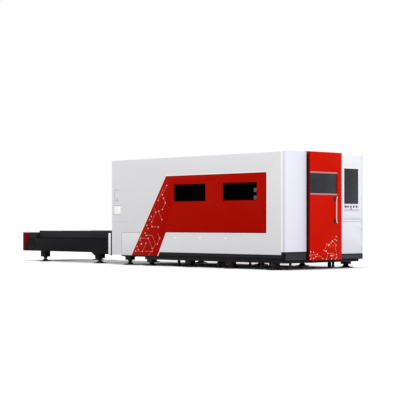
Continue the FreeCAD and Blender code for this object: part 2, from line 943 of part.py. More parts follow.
def door_rails():
    """The hanging track on the front edge of the roof and the guide block at the door's foot."""
    door_end = door_start + door_width
    track = block((track_rear_x, front_x - track_setback), (across(door_start - door_travel), across(door_end)),
                  (enclosure_height, enclosure_height + track_height))
    guide_x = front_x + door_gap + door_depth / 2
    guide_y = (across(door_start + guide_inset), across(door_start + guide_inset + guide_length))
    plate = block((front_x - front_sill_setback, guide_x + guide_width / 2),
                  guide_y, (sill_bottom, sill_bottom + guide_plate))
    upright = block((guide_x - guide_width / 2, guide_x + guide_width / 2), guide_y,
                    (sill_bottom + guide_plate, door_bottom + guide_height))
    return [track, plate.fuse(upright).removeSplitter()]


door_near_y = across(door_start)
door_far_y = across(door_start + door_width)
door_front_x = front_x + door_face
door_window_y = (door_near_y + door_window_near_inset, door_far_y - door_window_far_inset)
door_window_z = (door_window_bottom, door_window_bottom + door_window_height)


def door_hanger(y_start):
    """A shoe that straddles the track under the door's cap."""
    side = running_gap + hanger_wall
    shoe = block((track_rear_x - side, track_rear_x + track_width + side), (y_start, y_start + hanger_length),
                 (enclosure_height + running_gap * 2, door_top - door_cap_thickness))
    channel = block((track_rear_x - running_gap, track_rear_x + track_width + running_gap),
                    (y_start - 1, y_start + hanger_length + 1),
                    (enclosure_height, enclosure_height + track_height + running_gap))
    return shoe.cut(channel)


def door_leaf():
    """The door: a folded leaf open at the back and below, with a cap that reaches back over the track."""
    back = front_x + door_gap
    leaf = block((back, door_front_x), (door_near_y, door_far_y), (door_bottom, door_top))
    hollow = block((back - 1, door_front_x - sheet), (door_near_y + sheet, door_far_y - sheet),
                   (door_bottom - 1, door_top - door_cap_thickness))
    window = block((door_front_x - sheet - 1, door_front_x + 1), door_window_y, door_window_z)
    cap = block((front_x - door_cap_reach, door_front_x), (door_near_y, door_far_y),
                (door_top - door_cap_thickness, door_top))
    hangers = [door_hanger(door_near_y), door_hanger(door_far_y - hanger_length)]
    return leaf.cut([hollow, window]).fuse([cap] + hangers).removeSplitter()


def door_pane():
    lap = door_pane_lap
    return block((door_front_x - sheet - door_pane_thickness, door_front_x - sheet),
                 (door_window_y[0] - lap, door_window_y[1] + lap), (door_window_z[0] - lap, door_window_z[1] + lap))


def door_trims():
    """Two metal strips, over and under the door's window."""
    x = (door_front_x, door_front_x + trim_thickness)
    upper = block(x, door_window_y, (door_window_z[1], door_window_z[1] + trim_height))
    lower = block(x, door_window_y, (door_window_z[0] - trim_height, door_window_z[0]))
    return [upper, lower]


handle_y = door_far_y - handle_inset
handle_x = door_front_x + handle_standoff


def door_handle():
    """A pull bar that stands off the door and flares away from it at both ends."""
    flare_x = handle_x + handle_flare
    points = [Vector(flare_x, handle_y, handle_bottom),
              Vector(handle_x, handle_y, handle_bottom + handle_flare_height),
              Vector(handle_x, handle_y, handle_top - handle_flare_height),
              Vector(flare_x, handle_y, handle_top)]
    direction = points[1].sub(points[0]).normalize()
    side = Vector(0, 1, 0)
    ahead = side.cross(direction)
    corners = []
    for index in range(handle_sides):
        angle = 2 * math.pi * index / handle_sides
        corners.append(points[0] + side * (handle_radius * math.cos(angle))
                       + ahead * (handle_radius * math.sin(angle)))
    sweep = Part.BRepOffsetAPI.MakePipeShell(Part.makePolygon(points))
    sweep.setTransitionMode(1)
    sweep.add(Part.makePolygon(corners + [corners[0]]))
    sweep.build()
    sweep.makeSolid()
    return sweep.shape()


def handle_standoffs():
    length = handle_standoff - handle_radius
    return [many_sided(standoff_radius, handle_sides, (door_front_x, handle_y, z), (1, 0, 0), length)
            for z in (handle_bottom + standoff_inset, handle_top - standoff_inset)]


save("front_left_panel", front_tray((-half_width, left_panel_edge), (left_panel_bottom, enclosure_height),
                                    front_return))
save("front_plinths", [framed_plinth((-half_width, left_panel_edge), left_panel_bottom),
                       framed_plinth((cabinet_edge, half_width), right_plinth_top)])
save("front_frame", front_frame())
save("door_rails", door_rails())
save("door_leaf", door_leaf())
save("door_pane", door_pane())
save("door_trims", door_trims())
save("door_handle", door_handle())
save("handle_standoffs", handle_standoffs())


# ---------------------------------------------------------------- control cabinet

cabinet_door_y = (cabinet_edge + cabinet_door_near_inset, half_width - cabinet_door_far_inset)
cabinet_door_z = (cabinet_door_bottom, cabinet_door_bottom + cabinet_door_height)
hinge_x = front_x + hinge_radius + hinge_gap
hinge_y = cabinet_door_y[1] + panel_gap / 2
hinge_levels = (cabinet_door_z[0] + hinge_inset, cabinet_door_z[1] - hinge_inset - hinge_length)
screen_y = (cabinet_edge + screen_inset, cabinet_edge + screen_inset + screen_width)
screen_z = (screen_bottom, screen_bottom + screen_height)
drawer_y = (cabinet_edge + drawer_inset, cabinet_edge + drawer_inset + drawer_width)
drawer_z = (drawer_bottom, drawer_top)
cabinet_inside_y = cabinet_edge + cabinet_wall
cabinet_back_x = front_x - cabinet_depth


stop_y = cabinet_edge + stop_inset
key_y = cabinet_edge + key_inset


def button_places():
    return [cabinet_edge + first_button_inset + index * button_pitch for index in range(button_count)]


def fixed_knuckle(z):
    """The cabinet's half of a hinge: a leaf on the front, a knuckle and the pin that stands on it."""
    leaf = block((front_x, hinge_x), (hinge_y + hinge_gap + panel_gap, hinge_y + hinge_radius * 2),
                 (z, z + hinge_length / 2))
    profile = [(hinge_radius, 0), (hinge_radius, hinge_length / 2), (hinge_pin_radius, hinge_length / 2),
               (hinge_pin_radius, hinge_length)]
    return leaf.fuse(turned(profile, shaft_sides, (hinge_x, hinge_y, z), (0, 0, 1)))


def cabinet_fascia():
    """The cabinet's whole front, folded from one sheet, with openings for screen, drawer, keys and door."""
    front = front_tray((cabinet_edge, half_width), (right_plinth_top, enclosure_height), front_return)
    depth = (front_x - sheet - 1, front_x + 1)
    gap = panel_gap
    openings = [
        block(depth, screen_y, screen_z),
        block(depth, (drawer_y[0] - gap, drawer_y[1] + gap), (drawer_z[0] - gap, drawer_z[1] + gap)),
        block(depth, (cabinet_door_y[0] - gap, cabinet_door_y[1] + gap),
              (cabinet_door_z[0] - gap, cabinet_door_z[1] + gap)),
        many_sided(stop_stem_radius + button_gap, stem_sides, (depth[0], stop_y, button_level), (1, 0, 0),
                   sheet + 2),
        many_sided_hole(key_radius + button_gap, key_sides, (depth[0], key_y, key_level), (1, 0, 0), sheet + 2)]
    for y in button_places():
        openings.append(many_sided(button_stem_radius + button_gap, stem_sides, (depth[0], y, button_level),
                                   (1, 0, 0), sheet + 2))
    return front.cut(openings).fuse([fixed_knuckle(z) for z in hinge_levels]).removeSplitter()


def cabinet_door():
    """The lower door: a folded tray with a hinge knuckle over each pin."""
    back = front_x - cabinet_door_depth
    door = block((back, front_x), cabinet_door_y, cabinet_door_z)
    hollow = block((back - 1, front_x - sheet), (cabinet_door_y[0] + sheet, cabinet_door_y[1] - sheet),
                   (cabinet_door_z[0] + sheet, cabinet_door_z[1] - sheet))
    door = door.cut(hollow)
    for z in hinge_levels:
        start = z + hinge_length / 2 + hinge_gap
        end = z + hinge_length
        leaf = block((front_x, hinge_x), (cabinet_door_y[1] - hinge_radius * 2, hinge_y - hinge_gap), (start, end))
        knuckle = many_sided(hinge_radius, shaft_sides, (hinge_x, hinge_y, start), (0, 0, 1), end - start)
        bore = many_sided_hole(hinge_pin_radius + shaft_clearance, shaft_sides, (hinge_x, hinge_y, start - 1),
                               (0, 0, 1), end - start + 2)
        door = door.fuse([leaf, knuckle]).cut(bore)
    return door.removeSplitter()


def cabinet_walls():
    """The partition, the back, the floor plate, the shelf and the runners under the keyboard drawer."""
    partition_x = (cabinet_back_x, base_front_x - panel_gap)
    inside_x = (cabinet_back_x + cabinet_wall, base_front_x - panel_gap)
    partition = block(partition_x, (cabinet_edge, cabinet_inside_y), (sill_top, post_top))
    back = block((cabinet_back_x, cabinet_back_x + cabinet_wall), (cabinet_inside_y, wall_inside),
                 (sill_top, post_top))
    floor = block(inside_x, (cabinet_inside_y, post_inside), (sill_top, cabinet_floor_top))
    shelf = block(inside_x, (cabinet_inside_y, post_inside), (cabinet_shelf_top - cabinet_wall, cabinet_shelf_top))
    runner_x = (front_x - drawer_front - drawer_length, base_front_x - panel_gap)
    runner_z = (cabinet_shelf_top, drawer_bottom - rolling_gap)
    runners = [block(runner_x, (y, y + cabinet_wall), runner_z) for y in (drawer_y[0], drawer_y[1] - cabinet_wall)]
    return [partition, back, floor, shelf] + runners


def monitor():
    """An upright screen behind its opening, with a raised border round the display."""
    front = front_x - screen_recess
    y = (screen_y[0] - screen_lap, screen_y[1] + screen_lap)
    z = (screen_z[0] - screen_lap, screen_z[1] + screen_lap)
    body = block((front - screen_depth, front), y, z)
    rim = block((front, front_x - sheet), y, z)
    border = screen_border
    display = block((front, front_x), (screen_y[0] + border, screen_y[1] - border),
                    (screen_z[0] + border, screen_z[1] - border))
    return body.fuse(rim.cut(display)).removeSplitter()


def keyboard_drawer():
    """Drawer front with an open tray behind it."""
    front = block((front_x - drawer_front, front_x), drawer_y, drawer_z)
    tray_x = (front_x - drawer_front - drawer_length, front_x - drawer_front)
    tray = block(tray_x, drawer_y, (drawer_z[0], drawer_z[0] + drawer_side_height))
    hollow = block((tray_x[0] + sheet, tray_x[1]), (drawer_y[0] + sheet, drawer_y[1] - sheet),
                   (drawer_z[0] + sheet, drawer_z[0] + drawer_side_height + 1))
    return front.fuse(tray.cut(hollow)).removeSplitter()


def keyboard():
    """A low slab with raised key rows, lying in the drawer."""
    middle = (drawer_y[0] + drawer_y[1]) / 2
    front = front_x - drawer_front - keyboard_setback
    bottom = drawer_z[0] + sheet
    y = (middle - keyboard_width / 2, middle + keyboard_width / 2)
    slab = block((front - keyboard_length, front), y, (bottom, bottom + keyboard_height * 0.6))
    row = keyboard_length / (key_row_count + 1)
    keys = []
    for index in range(key_row_count):
        x = front - row * (index + 0.6)
        keys.append(block((x - row * 0.8, x), (y[0] + row / 2, y[1] - row / 2),
                          (bottom + keyboard_height * 0.6, bottom + keyboard_height)))
    return slab.fuse(keys)


def cabinet_module(bottom, height):
    """A closed unit that fills the cabinet's width between the partition and the wall."""
    front = base_front_x - panel_gap - module_setback
    return block((front - module_length, front), (cabinet_inside_y + module_side_gap, post_inside - module_side_gap),
                 (bottom, bottom + height))


def drive_rack():
    """The drive modules, one block split by upright gaps on its front."""
    rack = cabinet_module(cabinet_floor_top + laser_height, rack_height)
    box = rack.BoundBox
    pitch = box.YLength / rack_fin_count
    for index in range(1, rack_fin_count):
        y = box.YMin + index * pitch
        rack = rack.cut(block((box.XMax - pitch / 4, box.XMax + 1), (y - pitch / 10, y + pitch / 10),
                              (box.ZMin - 1, box.ZMax + 1)))
    return rack


def push_button(y, cap_radius, cap_height, stem_radius_here, travel):
    """A cap in front of the panel on a stem that passes through it."""
    cap = many_sided(cap_radius, button_sides, (front_x + travel, y, button_level), (1, 0, 0), cap_height)
    stem = many_sided(stem_radius_here, stem_sides, (front_x + travel - button_stem_length, y, button_level),
                      (1, 0, 0), button_stem_length)
    return cap.fuse(stem)


def emergency_stop():
    """A mushroom head: a wide low cap under a narrower crown, on its stem."""
    body = push_button(stop_y, stop_radius, stop_cap_height * 0.6, stop_stem_radius, stop_travel)
    crown_x = front_x + stop_travel + stop_cap_height * 0.6
    crown = many_sided(stop_radius * 0.75, button_sides, (crown_x, stop_y, button_level), (1, 0, 0),
                       stop_cap_height * 0.4)
    return body.fuse(crown)


def key_switch():
    """A lock barrel with the bow of its key standing out of it."""
    barrel = many_sided(key_radius, key_sides, (front_x - button_stem_length / 2, key_y, key_level), (1, 0, 0),
                        button_stem_length / 2 + sheet)
    bow = block((front_x + sheet, front_x + sheet + key_radius * 2), (key_y - key_width / 2, key_y + key_width / 2),
                (key_level - key_radius * 0.8, key_level + key_radius * 0.8))
    return barrel.fuse(bow)


save("cabinet_fascia", cabinet_fascia())
save("cabinet_door", cabinet_door())
save("cabinet_walls", cabinet_walls())
save("monitor", monitor())
save("keyboard_drawer", keyboard_drawer())
save("keyboard", keyboard())
save("cabinet_modules", [cabinet_module(cabinet_floor_top, laser_height), drive_rack()])
save("emergency_stop", emergency_stop())
for number, place in enumerate(button_places(), 1):
    save("push_button_" + str(number), push_button(place, button_radius, button_cap_height, button_stem_radius,
                                                   button_travel))
save("key_switch", key_switch())


# ---------------------------------------------------------------- gantry and cutting head

gantry_x = front_x - gantry_setback
rail_z = (bed_height, bed_height + rail_depth)
truck_bottom = bed_height + truck_lift
truck_top = truck_bottom + truck_height
beam_front_x = gantry_x + beam_depth / 2
beam_top = truck_top + beam_height
beam_rail_levels = (truck_top + beam_rail_inset, beam_top - beam_rail_inset - beam_rail_height)


def bed_rails():
    return both_sides(block((bed_rear_x + rail_end_inset, bed_front_x - rail_end_inset),
                            (-rail_offset - rail_width / 2, -rail_offset + rail_width / 2), rail_z))


def gantry_truck():
    """The near truck: a block that rides over its rail."""
    truck = block((gantry_x - truck_length / 2, gantry_x + truck_length / 2),
                  (-rail_offset - truck_width / 2, -rail_offset + truck_width / 2), (truck_bottom, truck_top))
    channel = block((gantry_x - truck_length, gantry_x + truck_length),
                    (-rail_offset - rail_width / 2 - running_gap, -rail_offset + rail_width / 2 + running_gap),
                    (truck_bottom - 1, rail_z[1] + running_gap))
    return truck.cut(channel)


def gantry_beam():
    """A box beam with an inner web and two rails on its front, and a truck under each end."""
    half = rail_offset + beam_overhang
    back_x = gantry_x - beam_depth / 2
    beam = block((back_x, beam_front_x), (-half, half), (truck_top, beam_top))
    middle = (truck_top + beam_top) / 2
    cells = [block((back_x + beam_wall, beam_front_x - beam_wall), (-half - 1, half + 1), z)
             for z in ((truck_top + beam_wall, middle - beam_wall / 2),
                       (middle + beam_wall / 2, beam_top - beam_wall))]
    rails = [block((beam_front_x, beam_front_x + beam_rail_height), (-half, half), (z, z + beam_rail_height))
             for z in beam_rail_levels]
    return beam.cut(cells).fuse(rails).removeSplitter()


def gantry_motor():
    """The near travel motor, on the truck behind the beam."""
    back_x = gantry_x - beam_depth / 2
    body = block((back_x - servo_size, back_x), (-rail_offset - servo_size / 2, -rail_offset + servo_size / 2),
                 (truck_top, truck_top + servo_length))
    neck = servo_size / 6
    collar = block((back_x - servo_size + neck, back_x - neck),
                   (-rail_offset - servo_size / 2 + neck, -rail_offset + servo_size / 2 - neck),
                   (truck_top + servo_length, truck_top + servo_length * 1.3))
    return body.fuse(collar)


carriage_back_x = beam_front_x + beam_rail_height + running_gap
carriage_front_x = carriage_back_x + carriage_thickness
carriage_z = (truck_top - carriage_drop, beam_top + carriage_rise)
slide_way_width = head_width / 2


def carriage():
    """The cross carriage: a plate in front of the beam rails, hooked over them, with a slideway for the head."""
    half = carriage_width / 2
    plate = block((carriage_back_x, carriage_front_x), (-half, half), carriage_z)
    hooks = []
    for level in beam_rail_levels:
        for z in (level - running_gap - beam_rail_height / 2, level + beam_rail_height + running_gap):
            hooks.append(block((beam_front_x + running_gap, carriage_back_x), (-half, half),
                               (z, z + beam_rail_height / 2)))
    way = block((carriage_front_x, carriage_front_x + carriage_thickness),
                (-slide_way_width / 2, slide_way_width / 2), carriage_z)
    return plate.fuse(hooks + [way]).removeSplitter()


head_bottom = nozzle_tip_level + nozzle_height
head_back_x = carriage_front_x + running_gap
nozzle_x = (carriage_front_x + carriage_thickness + running_gap + head_back_x + head_depth) / 2


def cutting_head():
    """The head's body, grooved to run on the carriage's slideway, with its sensor collar below."""
    body_bottom = head_bottom + nozzle_height / 3
    body = block((head_back_x, head_back_x + head_depth), (-head_width / 2, head_width / 2),
                 (body_bottom, body_bottom + head_body_height))
    groove = block((head_back_x - 1, carriage_front_x + carriage_thickness + running_gap),
                   (-slide_way_width / 2 - running_gap, slide_way_width / 2 + running_gap),
                   (body_bottom - 1, body_bottom + head_body_height + 1))
    collar = many_sided(head_collar_radius, shaft_sides, (nozzle_x, 0, head_bottom), (0, 0, 1),
                        body_bottom - head_bottom)
    return body.cut(groove).fuse(collar).removeSplitter()


def nozzle():
    """The copper nozzle: a cone with a bore for beam and gas."""
    start = (nozzle_x, 0, nozzle_tip_level)
    cone = turned([(nozzle_tip_radius, 0), (nozzle_radius, nozzle_height * 0.6), (nozzle_radius, nozzle_height)],
                  shaft_sides, start, (0, 0, 1))
    bore = many_sided(nozzle_tip_radius / 3, 6, start, (0, 0, 1), nozzle_height)
    return cone.cut(bore)


save("bed_rails", bed_rails())
save("gantry_beam", [gantry_beam()] + both_sides(gantry_truck()))
save("gantry_motors", both_sides(gantry_motor()))
save("carriage", carriage())
save("cutting_head", cutting_head())
save("nozzle", nozzle())


# ---------------------------------------------------------------- pallets

def axle_places(start_x):
    return (start_x + axle_inset, start_x + pallet_length - axle_inset)


def wheel_level(level):
    """Height of the wheel axles of a pallet whose side webs start at the level."""
    return level - pallet_ride + wheel_radius + rolling_gap


def pallet_frame(start_x, level, chain_side):
    """Channel-shaped sides with a lip as high as the teeth, end tubes, bars for the slats, and the chain dogs."""
    end_x = start_x + pallet_length
    top = level + pallet_height
    rail_outside = pallet_half - pallet_side_width + pallet_rail_width
    rail_inside = rail_outside - pallet_rail_width
    rail_height_here = pallet_rail_depth - tooth_height
    deck = top - tooth_height
    profile = [(-pallet_half, level), (-pallet_half, top), (-pallet_half + pallet_lip, top),
               (-pallet_half + pallet_lip, deck), (-rail_inside, deck),
               (-rail_inside, deck - rail_height_here), (-rail_outside, deck - rail_height_here),
               (-rail_outside, deck - pallet_flange), (-pallet_half + pallet_web, deck - pallet_flange),
               (-pallet_half + pallet_web, level)]
    side = front_prism(profile, start_x, end_x)
    for x in axle_places(start_x):
        side = side.cut(many_sided_hole(axle_radius + shaft_clearance, shaft_sides,
                                        (x, -pallet_half - 1, wheel_level(level)), (0, 1, 0), pallet_web + 2))
    pieces = both_sides(side)
    end_bottom = level + pallet_end_lift
    for x in (start_x, end_x - pallet_end_width):
        pieces.append(block((x, x + pallet_end_width), (-rail_inside, rail_inside), (end_bottom, deck)))
    bar_top = top - slat_height
    for index in range(support_bar_count):
        y = (index - (support_bar_count - 1) / 2) * pallet_half / 2
        pieces.append(block((start_x + pallet_end_width, end_x - pallet_end_width),
                            (y - support_bar_width / 2, y + support_bar_width / 2),
                            (bar_top - support_bar_height, bar_top)))
    for side in (-1, 1):
        y = (side * chain_y - dog_width / 2, side * chain_y + dog_width / 2)
        chain_face = chain_level + chain_side * (sprocket_radius + chain_thickness + rolling_gap)
        member_face = end_bottom if chain_side > 0 else deck
        pieces.append(block((start_x, start_x + dog_length), y, (member_face, chain_face)))
    return pieces


def toothed_slat(x, level):
    """One slat across the pallet with a row of pointed teeth along its top."""
    half = pallet_half - pallet_side_width
    top = level + pallet_height
    valley = top - tooth_height
    count = max(1, round(2 * half / tooth_pitch))
    step = 2 * half / count
    outline = [(-half, top - slat_height), (half, top - slat_height), (half, valley)]
    for index in range(count):
        outline.append((half - (index + 0.5) * step, top))
        outline.append((half - (index + 1) * step, valley))
    return front_prism(outline, x - slat_thickness / 2, x + slat_thickness / 2)


def pallet_slats(start_x, level):
    clear_length = pallet_length - 2 * pallet_end_width
    count = int(clear_length / slat_pitch)
    first = start_x + pallet_end_width + (clear_length - (count - 1) * slat_pitch) / 2
    return [toothed_slat(first + index * slat_pitch, level) for index in range(count)]


def wheel_set(x, level):
    """An axle through both sides of a pallet with a wheel inside each side channel."""
    z = wheel_level(level)
    end = pallet_half
    outside = pallet_half - pallet_web - wheel_width / 4
    inside = outside - wheel_width
    profile = [(axle_radius, -end), (axle_radius, -outside), (wheel_radius, -outside), (wheel_radius, -inside),
               (axle_radius, -inside), (axle_radius, inside), (wheel_radius, inside), (wheel_radius, outside),
               (axle_radius, outside), (axle_radius, end)]
    return turned(profile, shaft_sides, (x, 0, z), (0, 1, 0))


save("upper_pallet_frame", pallet_frame(outer_pallet_x, upper_level, 1))
save("upper_pallet_slats", pallet_slats(outer_pallet_x, upper_level))
save("lower_pallet_frame", pallet_frame(inner_pallet_x, lower_level, -1))
save("lower_pallet_slats", pallet_slats(inner_pallet_x, lower_level))
for pallet_name, pallet_x, pallet_level in (("upper", outer_pallet_x, upper_level),
                                            ("lower", inner_pallet_x, lower_level)):
    for end_name, axle_x in zip(("rear", "front"), axle_places(pallet_x)):
        save(pallet_name + "_" + end_name + "_wheels", wheel_set(axle_x, pallet_level))


# ---------------------------------------------------------------- exchange table and its drive

table_start_x = rear_x - table_start_gap
table_close_x = table_end_x + end_cover_sheet
housing_front_x = table_close_x + end_housing_length
table_track_end_x = drive_shaft_x + gearbox_length / 2 + track_end_gap


def table_side():
    """The near side frame with both pallet tracks, which run on through the opening of the rear wall."""
    step_x = table_start_x - table_front_length
    outline = [(table_close_x, table_bottom), (step_x, table_bottom),
               (step_x + table_bottom - table_front_bottom, table_front_bottom),
               (table_start_x, table_front_bottom), (table_start_x, upper_track_level),
               (table_close_x, upper_track_level)]
    side = side_prism(outline, -table_half, -track_wall)
    inner = -(track_wall - track_ledge)
    pieces = []
    for level in (upper_track_level, lower_track_level):
        under = level - track_thickness
        pieces.append(block((table_track_end_x, table_track_start_x), (-track_wall, inner), (under, level)))
        pieces.append(block((table_start_x - track_rib_lap, table_track_start_x),
                            (-track_wall, -track_wall + track_lip_width), (under - track_rib_height, under)))
    for x, underside, top in table_foot_places():
        pieces.append(block((x - table_foot_block / 2, x + table_foot_block / 2),
                            (-table_half, -table_half + foot_block_length), (top, underside)))
    side = side.fuse(pieces)
    bore = many_sided_hole(shaft_bearing, shaft_sides, (drive_shaft_x, -table_half - 1, chain_level), (0, 1, 0),
                           table_half - track_wall + 2)
    return side.cut(bore).removeSplitter()


def table_cross_members():
    """Cross members that tie the two side frames together just below the lower tracks."""
    return [block((x - table_cross_width / 2, x + table_cross_width / 2), (-track_wall, track_wall),
                  (underside, lower_track_level - track_thickness)) for x, underside, top in table_foot_places()]


def table_end_housing():
    """The low housing over the exchange drive: sides, top and front, open below."""
    x = (table_close_x, housing_front_x)
    z = (upper_track_level, end_cover_top - end_cover_sheet)
    outer = block(x, (-table_half, table_half), z)
    inner = block((x[0] - 1, x[1] - sheet), (-table_half + sheet, table_half - sheet), (z[0] - 1, z[1] - sheet))
    chain_top = chain_level + sprocket_radius + chain_thickness
    notches = [block((x[1] - sheet - 1, x[1] + 1), (side * chain_y - chain_width, side * chain_y + chain_width),
                     (z[0] - 1, chain_top + chain_width)) for side in (-1, 1)]
    return outer.cut([inner] + notches)


def table_end_cover():
    """The red end: a rear plate, slanted wings round both corners and a lip over the housing."""
    outside = table_half + end_cover_sheet
    bottom = table_bottom + end_cover_sheet * 2
    plate = block((table_end_x, table_close_x), (-outside, outside), (bottom, end_cover_top))
    wing = side_prism([(table_end_x, bottom), (table_end_x + end_wing_bottom, bottom),
                       (table_end_x + end_wing_top, end_cover_top), (table_end_x, end_cover_top)],
                      -outside, -table_half)
    lip = block((table_end_x, table_end_x + end_wing_top), (-outside, outside),
                (end_cover_top - end_cover_sheet, end_cover_top))
    return plate.fuse(both_sides(wing) + [lip]).removeSplitter()


def link_guards():
    """Pale sheet guards that close the gap between table and enclosure at both tracks."""
    start = table_start_x + guard_gap
    return both_sides(block((start, start + guard_length), (-table_half, -track_wall), (guard_bottom, guard_top)))


def exchange_chain():
    """The near chain as one closed loop round both sprockets."""
    y = (-chain_y - chain_width / 2, -chain_y + chain_width / 2)

    def stretched(radius, y_start, y_end):
        middle = block((drive_shaft_x, idler_shaft_x), (y_start, y_end),
                       (chain_level - radius, chain_level + radius))
        ends = [many_sided_hole(radius, sprocket_sides, (x, y_start, chain_level), (0, 1, 0), y_end - y_start)
                for x in (drive_shaft_x, idler_shaft_x)]
        return middle.fuse(ends).removeSplitter()

    outer = stretched(sprocket_radius + chain_thickness, y[0], y[1])
    return outer.cut(stretched(sprocket_radius, y[0] - 1, y[1] + 1))


def chain_shaft(x, half):
    """A shaft across the machine with a sprocket inside each chain."""
    shaft = many_sided(drive_shaft_radius, shaft_sides, (x, -half, chain_level), (0, 1, 0), half * 2)
    sprocket = many_sided(sprocket_radius - rolling_gap, sprocket_sides,
                          (x, -chain_y - sprocket_width / 2, chain_level), (0, 1, 0), sprocket_width)
    return shaft.fuse(both_sides(sprocket)).removeSplitter()


def exchange_motor():
    """Gearbox on the drive shaft, against the near side frame, with the motor behind it."""
    half = gearbox_length / 2
    y = (-track_wall, -track_wall + gearbox_width)
    z = (chain_level - gearbox_drop, chain_level + gearbox_rise)
    box = block((drive_shaft_x - half, drive_shaft_x + half), y, z)
    bore = many_sided_hole(shaft_bearing, shaft_sides, (drive_shaft_x, y[0] - 1, chain_level), (0, 1, 0),
                           gearbox_width + 2)
    middle = (z[0] + z[1]) / 2
    body = block((drive_shaft_x - half - motor_length, drive_shaft_x - half), (y[0] + gearbox_width / 8, y[1]),
                 (middle - motor_height / 2, middle + motor_height / 2))
    return box.fuse(body).cut(bore)


save("table_frames", both_sides(table_side()) + table_cross_members())
save("table_end_housing", table_end_housing())
save("table_end_cover", table_end_cover())
save("link_guards", link_guards())
save("exchange_chains", both_sides(exchange_chain()))
save("drive_shaft", chain_shaft(drive_shaft_x, table_half - rolling_gap))
save("idler_shaft", chain_shaft(idler_shaft_x, track_wall + bearing_depth))
save("exchange_motor", exchange_motor())

print("overall length", overall_length, "front at", front_x, "files", len(os.listdir("parts")))
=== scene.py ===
import bmesh
import bpy
import json
import math
from mathutils import Matrix, Vector


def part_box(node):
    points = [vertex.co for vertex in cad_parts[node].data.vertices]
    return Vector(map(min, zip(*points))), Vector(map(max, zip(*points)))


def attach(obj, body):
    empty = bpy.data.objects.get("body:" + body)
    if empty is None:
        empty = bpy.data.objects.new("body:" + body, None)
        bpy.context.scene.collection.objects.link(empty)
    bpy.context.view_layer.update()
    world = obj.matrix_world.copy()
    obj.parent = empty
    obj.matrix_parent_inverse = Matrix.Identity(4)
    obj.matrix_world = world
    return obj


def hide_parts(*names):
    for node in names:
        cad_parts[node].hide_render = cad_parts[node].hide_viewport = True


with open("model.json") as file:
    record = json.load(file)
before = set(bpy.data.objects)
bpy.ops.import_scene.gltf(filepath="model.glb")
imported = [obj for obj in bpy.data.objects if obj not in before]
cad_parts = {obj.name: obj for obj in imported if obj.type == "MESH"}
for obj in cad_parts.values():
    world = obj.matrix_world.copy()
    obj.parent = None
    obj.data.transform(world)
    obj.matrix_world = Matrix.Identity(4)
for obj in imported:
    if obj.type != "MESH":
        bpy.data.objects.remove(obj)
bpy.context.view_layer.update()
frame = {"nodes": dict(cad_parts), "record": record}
print("frame loaded,", len(frame["nodes"]), "nodes")

record = frame["record"]
bodyOfNode = {node: body for body, nodes in record["behaviour"]["bodies"].items() for node in nodes}
slotOfNode = {part["node"]: part["material_slot"] for part in record["subparts"]}

# places that many pieces share, in metres
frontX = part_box("front_left_panel")[1].x
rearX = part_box("side_panel_near")[0].x
sideY = -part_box("side_panel_near")[0].y
bandY = -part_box("red_bands")[0].y
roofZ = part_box("roof_panels")[1].z


# colours and shader sums

def tone(text):
    # "#c41208" as a linear colour
    parts = [int(text[i:i + 2], 16) / 255 for i in (1, 3, 5)]
    return [c / 12.92 if c <= 0.04045 else ((c + 0.055) / 1.055) ** 2.4 for c in parts] + [1.0]


class Wire:
    # one output socket; sums written with it add Math nodes to its board
    def __init__(self, board, socket):
        self.board = board
        self.socket = socket

    def mathNode(self, operation, first, second):
        return self.board.node("ShaderNodeMath", {"operation": operation}, {0: first, 1: second})

    def __add__(self, other):
        return self.mathNode("ADD", self, other)

    def __radd__(self, other):
        return self.mathNode("ADD", other, self)

    def __sub__(self, other):
        return self.mathNode("SUBTRACT", self, other)

    def __rsub__(self, other):
        return self.mathNode("SUBTRACT", other, self)

    def __mul__(self, other):
        return self.mathNode("MULTIPLY", self, other)

    def __rmul__(self, other):
        return self.mathNode("MULTIPLY", other, self)

    def __lt__(self, other):
        return self.mathNode("LESS_THAN", self, other)

    def __gt__(self, other):
        return self.mathNode("GREATER_THAN", self, other)

    def __abs__(self):
        return self.mathNode("ABSOLUTE", self, 0.0)


class Board:
    # a tree of nodes, and the one method that adds a node to it
    def __init__(self, tree):
        self.tree = tree

    def node(self, kind, settings=None, sockets=None, output=0):
        made = self.tree.nodes.new(kind)
        for key, value in (settings or {}).items():
            if key == "stops":
                ramp = made.color_ramp.elements
                ramp[0].position, ramp[0].color = value[0]
                ramp[1].position, ramp[1].color = value[-1]
                for place, colour in value[1:-1]:
                    ramp.new(place).color = colour
            else:
                setattr(made, key, value)
        for key, value in (sockets or {}).items():
            if isinstance(value, Wire):
                self.tree.links.new(value.socket, made.inputs[key])
            else:
                made.inputs[key].default_value = value
        return Wire(self, made.outputs[output])

    def seenItself(self):
        # 1 for rays that show the thing itself, 0 for those that only carry its light elsewhere
        rays = self.node("ShaderNodeLightPath").socket.node.outputs
        return anyOf(*[Wire(self, rays["Is %s Ray" % kind]) for kind in ("Camera", "Glossy", "Transmission")])


